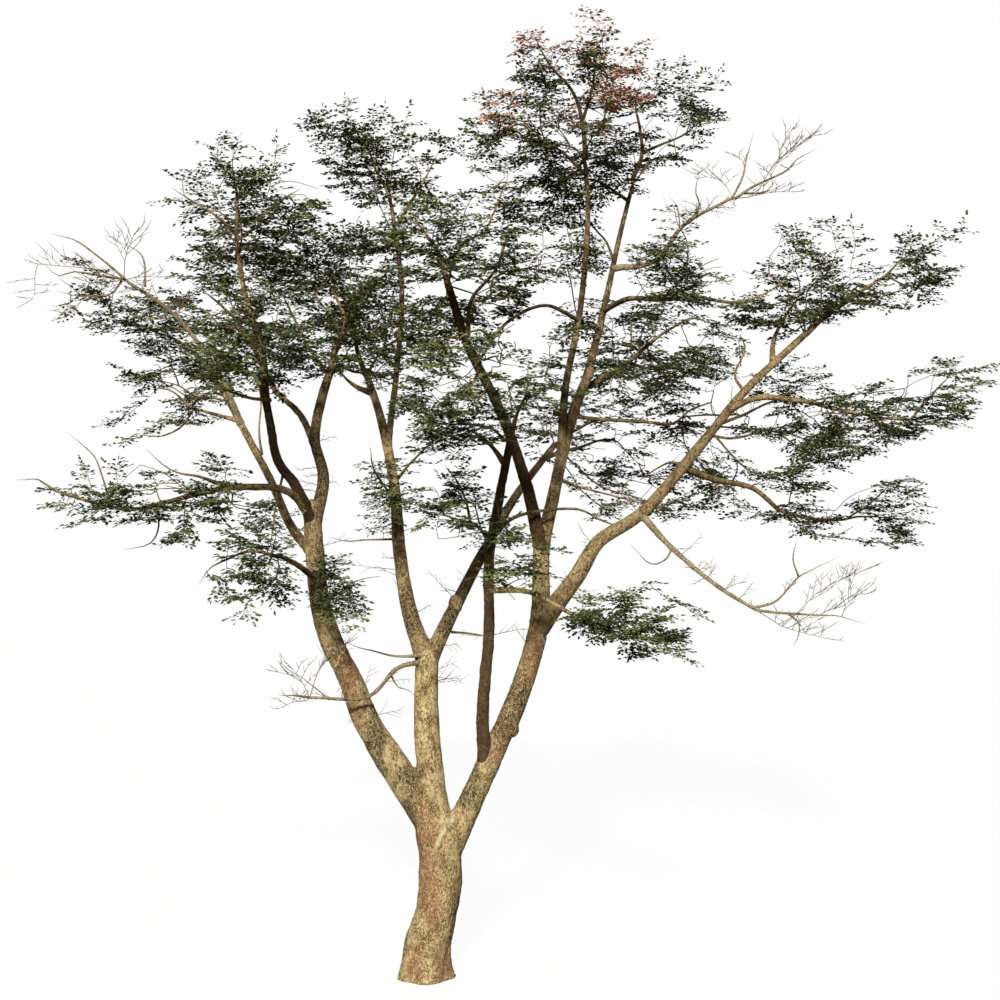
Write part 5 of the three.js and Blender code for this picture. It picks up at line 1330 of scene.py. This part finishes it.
def surface(name):
    """A new material with a plain shader: the material, its nodes and the shader."""
    made = bpy.data.materials.new(name)
    tree = empty_tree(made)
    shader = node(tree, "BsdfPrincipled", {})
    node(tree, "OutputMaterial", {"Surface": Channel(shader.outputs["BSDF"])})
    return made, tree, shader


def mapped(tree, inputs, **settings):
    coords = node(tree, "TexCoord", {})
    made = node(tree, "Mapping", {"Vector": Channel(coords.outputs["Object"]), **inputs}, **settings)
    return Channel(made.outputs["Vector"])


def speckle(vector, scale, detail, twist=0.0, roughness=0.55):
    inputs = {"Vector": vector, "Scale": scale, "Detail": detail, "Roughness": roughness, "Distortion": twist}
    return Channel(node(vector.socket.id_data, "TexNoise", inputs).outputs["Fac"])


def zone(tree, centre, halves, tilt=0.0):
    """One inside a soft ellipsoid, tilted about Y, and nothing outside it."""
    inputs = {"Location": centre, "Rotation": (0, tilt, 0), "Scale": halves}
    inside = mapped(tree, inputs, vector_type="TEXTURE")
    length = node(tree, "VectorMath", {0: inside}, operation="LENGTH")
    return Channel(length.outputs["Value"]).stepped(*ZONE_STEP)


def bump(height, strength, distance):
    inputs = {"Height": height, "Strength": strength, "Distance": distance}
    return Channel(node(height.socket.id_data, "Bump", inputs).outputs["Normal"])


# Noises of the bark: scale, detail, twist and roughness
GRAIN = (42, 9, 0.5, 0.78)
BREAKUP = (14, 6, 0.5, 0.68)
MOTTLE = (7, 5, 0.3, 0.6)
RED_AREAS = (1.9, 4, 0.5)
DARK_AREAS = (3.3, 5, 0.6)
FLECKS = (88, 2, 0.3, 0.5)
SPECKS = (70, 5, 0.4, 0.7)
SPECK_AREAS = (5.5, 3)
ALOFT_AREAS = (3.1, 3)
# Steps of its masks: where each starts and where it is full, or how wide it is
PALE_STEP = (0.44, 0.56)
RED_STEP = (0.23, 0.5)
RED_GRAIN = (0.64, 0.4)
DARK_STEP = 0.3
DARK_GRAIN = (0.7, 0.4)
FLECK_STEP = (0.56, 0.66)
SPECK_STEP = (0.55, 0.63)
SPECK_AREA_STEP = (0.38, 0.6)
HIGHLIGHT_GRAIN = (0.36, 0.52)
ALOFT_STEP = (0.6, 0.45)
ALOFT_RIGHT = (4.4, 2.6)
ALOFT_LEFT = 0.8
ZONE_STEP = (1.25, 0.3)
FLECK_BRIGHTNESS = 1.35
BRIGHTEST = 0.9
ROUGHNESS_RANGE = {"To Min": 0.76, "To Max": 0.96}
RED_ZONE_STRENGTH = 0.3
DARK_AND_SHADE_STRENGTH = 0.42
BUMP_DEPTH = 0.04


def bark(name, pale, tan, red, dark, red_level, dark_level, red_zones=(), dark_and_shade_zones=(), aloft=None,
         highlight_strips=()):
    """Pale plates on tan, with reddish and dark areas, pale flecks and dark specks, and darker high up. Zones
    add to the dark areas, as painted shade and painted shadows on the trunk and stems; strips add painted
    highlights; the darkening high up is partly painted shade under the leaves.
    """
    made, tree, shader = surface(name)
    plain, half_drawn, drawn = (mapped(tree, {"Scale": (1, 1, along)}) for along in (1, 0.72, 0.5))
    grain = speckle(drawn, *GRAIN)
    breakup = speckle(half_drawn, *BREAKUP)
    mottle = speckle(half_drawn, *MOTTLE)
    body = (grain * 0.66 + mottle * 0.34).stepped(*PALE_STEP).blend(tan, pale)
    reds = speckle(plain, *RED_AREAS) + breakup * 0.9
    for centre, halves in red_zones:
        reds = reds + zone(tree, centre, halves) * RED_ZONE_STRENGTH
    reds = reds.stepped(*(red_level + step for step in RED_STEP))
    body = (reds * (grain.stepped(*RED_GRAIN) * 0.6 + 0.35)).blend(body, red)
    dark_and_shade_mask = speckle(half_drawn, *DARK_AREAS) + breakup * 0.6
    # Painted shade: each zone adds to the dark areas; on the pale bark the zones are painted shade down the
    # sides of the limbs and painted shadows of limbs across them
    for centre, halves in dark_and_shade_zones:
        dark_and_shade_mask = dark_and_shade_mask + zone(tree, centre, halves) * DARK_AND_SHADE_STRENGTH
    dark_and_shade_mask = dark_and_shade_mask.stepped(dark_level, dark_level + DARK_STEP)
    body = (dark_and_shade_mask * grain.stepped(*DARK_GRAIN)).blend(body, dark)
    fleck = tuple(min(FLECK_BRIGHTNESS * value, BRIGHTEST) for value in pale)
    body = (speckle(half_drawn, *FLECKS).stepped(*FLECK_STEP) * 0.75).blend(body, fleck)
    specks = speckle(plain, *SPECKS).stepped(*SPECK_STEP)
    areas = speckle(plain, *SPECK_AREAS).stepped(*SPECK_AREA_STEP)
    body = (specks * (areas * 0.6)).blend(body, dark)
    # Painted highlights: pale strips along a lit edge of the bark
    for centre, halves, tilt, tone in highlight_strips:
        body = (zone(tree, centre, halves, tilt) * grain.stepped(*HIGHLIGHT_GRAIN)).blend(body, tone)
    # Darker bark high in the crown's middle: a darker tone of the bark, and partly painted shade under the
    # leaves
    if aloft:
        low, high, tone, from_across = aloft
        place = node(tree, "SeparateXYZ", {"Vector": plain})
        across, up = Channel(place.outputs["X"]), Channel(place.outputs["Z"])
        share = up.stepped(low, high) * across.stepped(*ALOFT_RIGHT)
        share = share * across.stepped(from_across, from_across + ALOFT_LEFT)
        patches = breakup * 0.55 + speckle(plain, *ALOFT_AREAS) * 0.45
        body = (share * patches.stepped(*ALOFT_STEP)).blend(body, tone)
    rough = node(tree, "MapRange", {"Value": grain, **ROUGHNESS_RANGE}).outputs["Result"]
    relief = bump(grain * 0.55 + breakup * 0.9 - specks * 0.25, 1.0, BUMP_DEPTH)
    looks = {"Base Color": body, "Roughness": Channel(rough), "Specular IOR Level": 0.2, "Normal": relief}
    wired(shader, looks)
    return made


def foliage(name, deep, plain, bright):
    """Leaves of one tone, with deeper and brighter ones among them."""
    made, tree, shader = surface(name)
    coords = mapped(tree, {"Scale": (1, 1, 1)})
    body = deep
    for scale, detail, low, high, tone in ((4.5, 3, 0.34, 0.66, plain), (21, 2, 0.55, 0.68, bright),
                                           (33, 2, 0.6, 0.72, deep)):
        body = speckle(coords, scale, detail).stepped(low, high).blend(body, tone)
    relief = bump(speckle(coords, 160, 2).stepped(0.3, 0.7), 0.25, 0.003)
    wired(shader, {"Base Color": body, "Roughness": 0.62, "Specular IOR Level": 0.28, "Normal": relief})
    return made


# Where the bark is reddish or dark, and where painted shade and shadows darken it: soft spaces of a centre
# and half sizes
RED_ZONES = (((0.0, -0.2, 1.62), (0.27, 0.4, 0.75)), ((0.09, -0.25, 0.95), (0.13, 0.35, 0.6)),
             ((-0.1, -0.2, 0.25), (0.2, 0.4, 0.3)), ((0.3, -0.2, 0.2), (0.22, 0.4, 0.34)),
             ((0.98, -0.2, 2.85), (0.2, 0.25, 0.5)), ((-0.9, -0.2, 3.95), (0.25, 0.35, 0.6)),
             ((1.32, -0.25, 4.05), (0.22, 0.35, 0.5)))
BOUGH_ZONES = (((-0.2, 0.4, 4.58), (0.2, 1.2, 0.42)), ((0.34, 0.5, 4.42), (0.2, 1.2, 0.36)),
               ((-1.3, -0.2, 6.4), (0.3, 1.0, 0.5)), ((0.95, 1.4, 5.7), (0.3, 1.0, 0.4)))
# Painted shade: dark down the sides of the trunk and stems, and painted shadows of limbs in bands across the
# stems
PAINTED_SHADE_ZONES = (((1.08, -0.15, 3.42), (0.4, 1.0, 0.5)), ((0.5, -0.1, 2.35), (0.12, 0.8, 0.4)),
              ((0.62, -0.2, 2.4), (0.12, 0.8, 0.3)), ((-0.2, -0.2, 2.55), (0.2, 0.8, 0.12)),
              ((-1.22, -0.2, 5.05), (0.3, 0.8, 0.6)), ((-0.2, -0.05, 1.75), (0.12, 0.8, 0.9)),
              ((-0.62, -0.1, 2.7), (0.14, 0.8, 0.9)), ((0.42, -0.1, 0.6), (0.14, 0.8, 0.5)),
              ((-0.3, -0.1, 0.5), (0.12, 0.8, 0.4)))
# Painted highlight: pale strips along the lit lip of the crease below the right fork: centre, half sizes,
# tilt and tone
PAINTED_HIGHLIGHT_STRIPS = (((0.21, -0.25, 1.8), (0.04, 0.4, 0.24), 0.45, (0.76, 0.63, 0.38)),
           ((0.33, -0.25, 1.97), (0.036, 0.4, 0.09), 0.3, (0.8, 0.68, 0.44)))
pale_bark = bark(
    "pale_bark", (0.66, 0.51, 0.255), (0.15, 0.092, 0.03), (0.26, 0.105, 0.05), (0.05, 0.028, 0.01),
    0.76, 0.84, RED_ZONES, PAINTED_SHADE_ZONES, highlight_strips=PAINTED_HIGHLIGHT_STRIPS)
bough_bark = bark(
    "bough_bark", (0.47, 0.335, 0.16), (0.1, 0.062, 0.023), (0.15, 0.075, 0.035), (0.032, 0.022, 0.011),
    0.82, 0.8, dark_and_shade_zones=BOUGH_ZONES, aloft=(4.8, 8.2, (0.085, 0.057, 0.028), 0.6))
dark_bark = bark(
    "dark_bark", (0.15, 0.094, 0.042), (0.065, 0.039, 0.016), (0.07, 0.036, 0.017), (0.02, 0.013, 0.007),
    0.78, 0.84)
dead_bark = bark(
    "dead_bark", (0.44, 0.35, 0.2), (0.2, 0.145, 0.075), (0.13, 0.08, 0.045), (0.05, 0.034, 0.022),
    0.86, 0.92)
twig_bark = bark(
    "twig_bark", (0.34, 0.25, 0.125), (0.13, 0.085, 0.04), (0.1, 0.05, 0.03), (0.03, 0.02, 0.014),
    0.86, 0.92)
# Leaf tones: the dark tone is painted shade, given more to the low parts of masses; the light tone is given
# more to their tops; each tone also varies at random
leaf_materials = [
    foliage("dark_and_shaded_leaves", (0.013, 0.022, 0.006), (0.038, 0.062, 0.016), (0.085, 0.115, 0.034)),
    foliage("green_leaves", (0.03, 0.048, 0.01), (0.072, 0.1, 0.021), (0.16, 0.185, 0.048)),
    foliage("light_leaves", (0.065, 0.093, 0.022), (0.14, 0.172, 0.045), (0.26, 0.27, 0.085)),
    foliage("reddish_leaves", (0.3, 0.13, 0.08), (0.57, 0.285, 0.175), (0.77, 0.5, 0.34)),
]


def dressed(piece, material, slot, nodes):
    piece.data.materials.clear()
    piece.data.materials.append(material)
    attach(piece, "root")
    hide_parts(*nodes)


# Skins over several limbs: spacing and sides of the tubes, then voxel, knobs, smoothing rounds and relief
SKINS = (("trunk_bark", MAIN_LIMBS, pale_bark, (0.05, 32), (0.0172, KNOBS, 14, 1.0)),
         ("bough_bark", PALE_BOUGHS, bough_bark, (0.04, 20), (0.0165, [], 2, 0.8)))
# Single limbs: spacing and sides of the tube, then its roughness
ROUGH_LIMBS = (("limb_bark", OTHER_LIMBS, bough_bark, "bark_pale", (0.05, 12, 0.16)),
               ("dark_limb_bark", DARK_LIMBS, dark_bark, "bark_dark", (0.035, 18, 0.13)),
               ("dead_limb_bark", DEAD_LIMBS, dead_bark, "bark_dead", (0.04, 10, 0.22)))
for name, nodes, material, rings, skin in SKINS:
    parts = [limb_tube(node_name, *rings) for node_name in nodes]
    dressed(weathered(name, parts, *skin), material, "bark_pale", nodes)
for name, nodes, material, slot, rings in ROUGH_LIMBS:
    parts = [rough_limb(node_name, *rings) for node_name in nodes]
    dressed(mesh_object(name, *joined(parts)), material, slot, nodes)
dressed(mesh_object("small_bough_bark", *joined(bough_tubes)), bough_bark, "bark_pale", LEAFY_MASSES)

for side in SIDES:
    nodes = [mass for mass in LEAFY_MASSES if limb_side(MASSES[mass][0]) == side]
    chosen = shoots[shoots[:, 8] == SIDES.index(side)]
    lines = shoot_lines(chosen, SHOOT_DROOP)[:, [0, 2]]
    sizes = np.array([[SHOOT_RADIUS, SHOOT_RADIUS * 0.2]]).repeat(len(chosen), axis=0)
    parts = twig_tubes[side] + [thin_tubes(lines, sizes, 3)]
    dressed(mesh_object(side + "_twigs", *joined(parts)), twig_bark, "bark_dark", nodes)
    for tone in range(3):
        rows = chosen[chosen[:, 7] == tone]
        piece = mesh_object(side + "_" + TONES[tone] + "_leaves", *leaf_fan(rows), smooth=False)
        dressed(piece, leaf_materials[tone], "leaves_green", nodes)
rows = shoots[shoots[:, 7] == TONES.index("reddish")]
dressed(mesh_object("reddish_leaves", *leaf_fan(rows), smooth=False), leaf_materials[3], "leaves_reddish",
        ["top_left_leaves"])

# Bare twigs: each shoot of a dead mass forks into feathery ends
dead = np.array(dead_shoots)
way, size = dead[:, 3:6], dead[:, 6:7]
aside = unit(np.stack([-way[:, 1], way[:, 0], np.zeros(len(dead))], axis=1) + 1e-6)
forks = [shoot_lines(dead, -DEAD_SHOOT_CURL)]
for share, hand in DEAD_FORKS:
    base = dead[:, 0:3] + way * size * share
    base[:, 2] += DEAD_SHOOT_CURL * size[:, 0] * share ** 2
    stray = chance.normal(0, DEAD_FORK_STRAY, way.shape) + np.array([0, 0, DEAD_FORK_RISE])
    out = unit(way + aside * hand * DEAD_FORK_ASIDE + stray)
    rows = np.hstack([base, out, size * DEAD_FORK_SHARE * chance.uniform(*DEAD_FORK_LENGTHS, size.shape)])
    forks.append(shoot_lines(rows, -DEAD_FORK_CURL))
lines = np.vstack(forks)
sizes = np.array([DEAD_SHOOT_RADII]).repeat(len(lines), axis=0)
parts = dead_tubes + [thin_tubes(lines, sizes, 3)]
dressed(mesh_object("dead_twigs", *joined(parts)), dead_bark, "dead_twigs", BARE_MASSES)


def seen_or_not(tree, seen, unseen):
    """One shader for what the camera sees, and another for the light on the tree."""
    rays = node(tree, "LightPath", {})
    inputs = {"Fac": Channel(rays.outputs["Is Camera Ray"]), 1: unseen, 2: seen}
    return Channel(node(tree, "MixShader", inputs).outputs["Shader"])


def sun(name, strength, degrees, direction, colour=(1, 1, 1)):
    light = bpy.data.lights.new(name, "SUN")
    light.energy = strength
    light.angle = math.radians(degrees)
    light.color = colour
    placed(name, light).rotation_euler = Vector(direction).to_track_quat("-Z", "Y").to_euler()


# Stage: a plain pale floor and white surroundings
floor_mesh = bpy.data.meshes.new("floor")
build = bmesh.new()
bmesh.ops.create_circle(build, cap_ends=True, segments=FLOOR_SIDES, radius=FLOOR_RADIUS)
build.to_mesh(floor_mesh)
build.free()
floor = placed("floor", floor_mesh)
floor.location = (0, 0, -FLOOR_DROP)
floor_white = bpy.data.materials.new("floor_white")
tree = empty_tree(floor_white)
glow = Channel(node(tree, "Emission", {"Strength": 1.0}).outputs["Emission"])
white = Channel(node(tree, "BsdfDiffuse", {"Color": FLOOR_COLOUR}).outputs["BSDF"])
ground = Channel(node(tree, "BsdfDiffuse", {"Color": GROUND_COLOUR}).outputs["BSDF"])
seen = Channel(node(tree, "MixShader", {"Fac": FLOOR_GLOW, 1: white, 2: glow}).outputs["Shader"])
node(tree, "OutputMaterial", {"Surface": seen_or_not(tree, seen, ground)})
floor.data.materials.append(floor_white)

world = bpy.data.worlds.new("studio")
bpy.context.scene.world = world
tree = empty_tree(world)
fill = node(tree, "Background", {"Color": FILL_COLOUR, "Strength": FILL_STRENGTH}).outputs["Background"]
clear = node(tree, "Background", {"Color": (1, 1, 1), "Strength": 1.0}).outputs["Background"]
node(tree, "OutputWorld", {"Surface": seen_or_not(tree, Channel(clear), Channel(fill))})

# Soft light from above and behind the camera, and a little from behind the tree
sun("key", 5.8, 9, (0.1, 0.86, -0.5), (1.0, 0.985, 0.955))
sun("back", 0.3, 30, (-0.1, -0.75, -0.66))

bpy.context.scene.view_settings.view_transform = "Standard"
camera_data = bpy.data.cameras.new("camera")
camera_data.lens = CAMERA_LENS
camera_data.sensor_width = SENSOR
camera_data.clip_end = CAMERA_FAR
camera = placed("camera", camera_data)
camera.location = CAMERA_PLACE
camera.rotation_euler = (math.radians(90), 0, 0)
bpy.context.scene.camera = camera
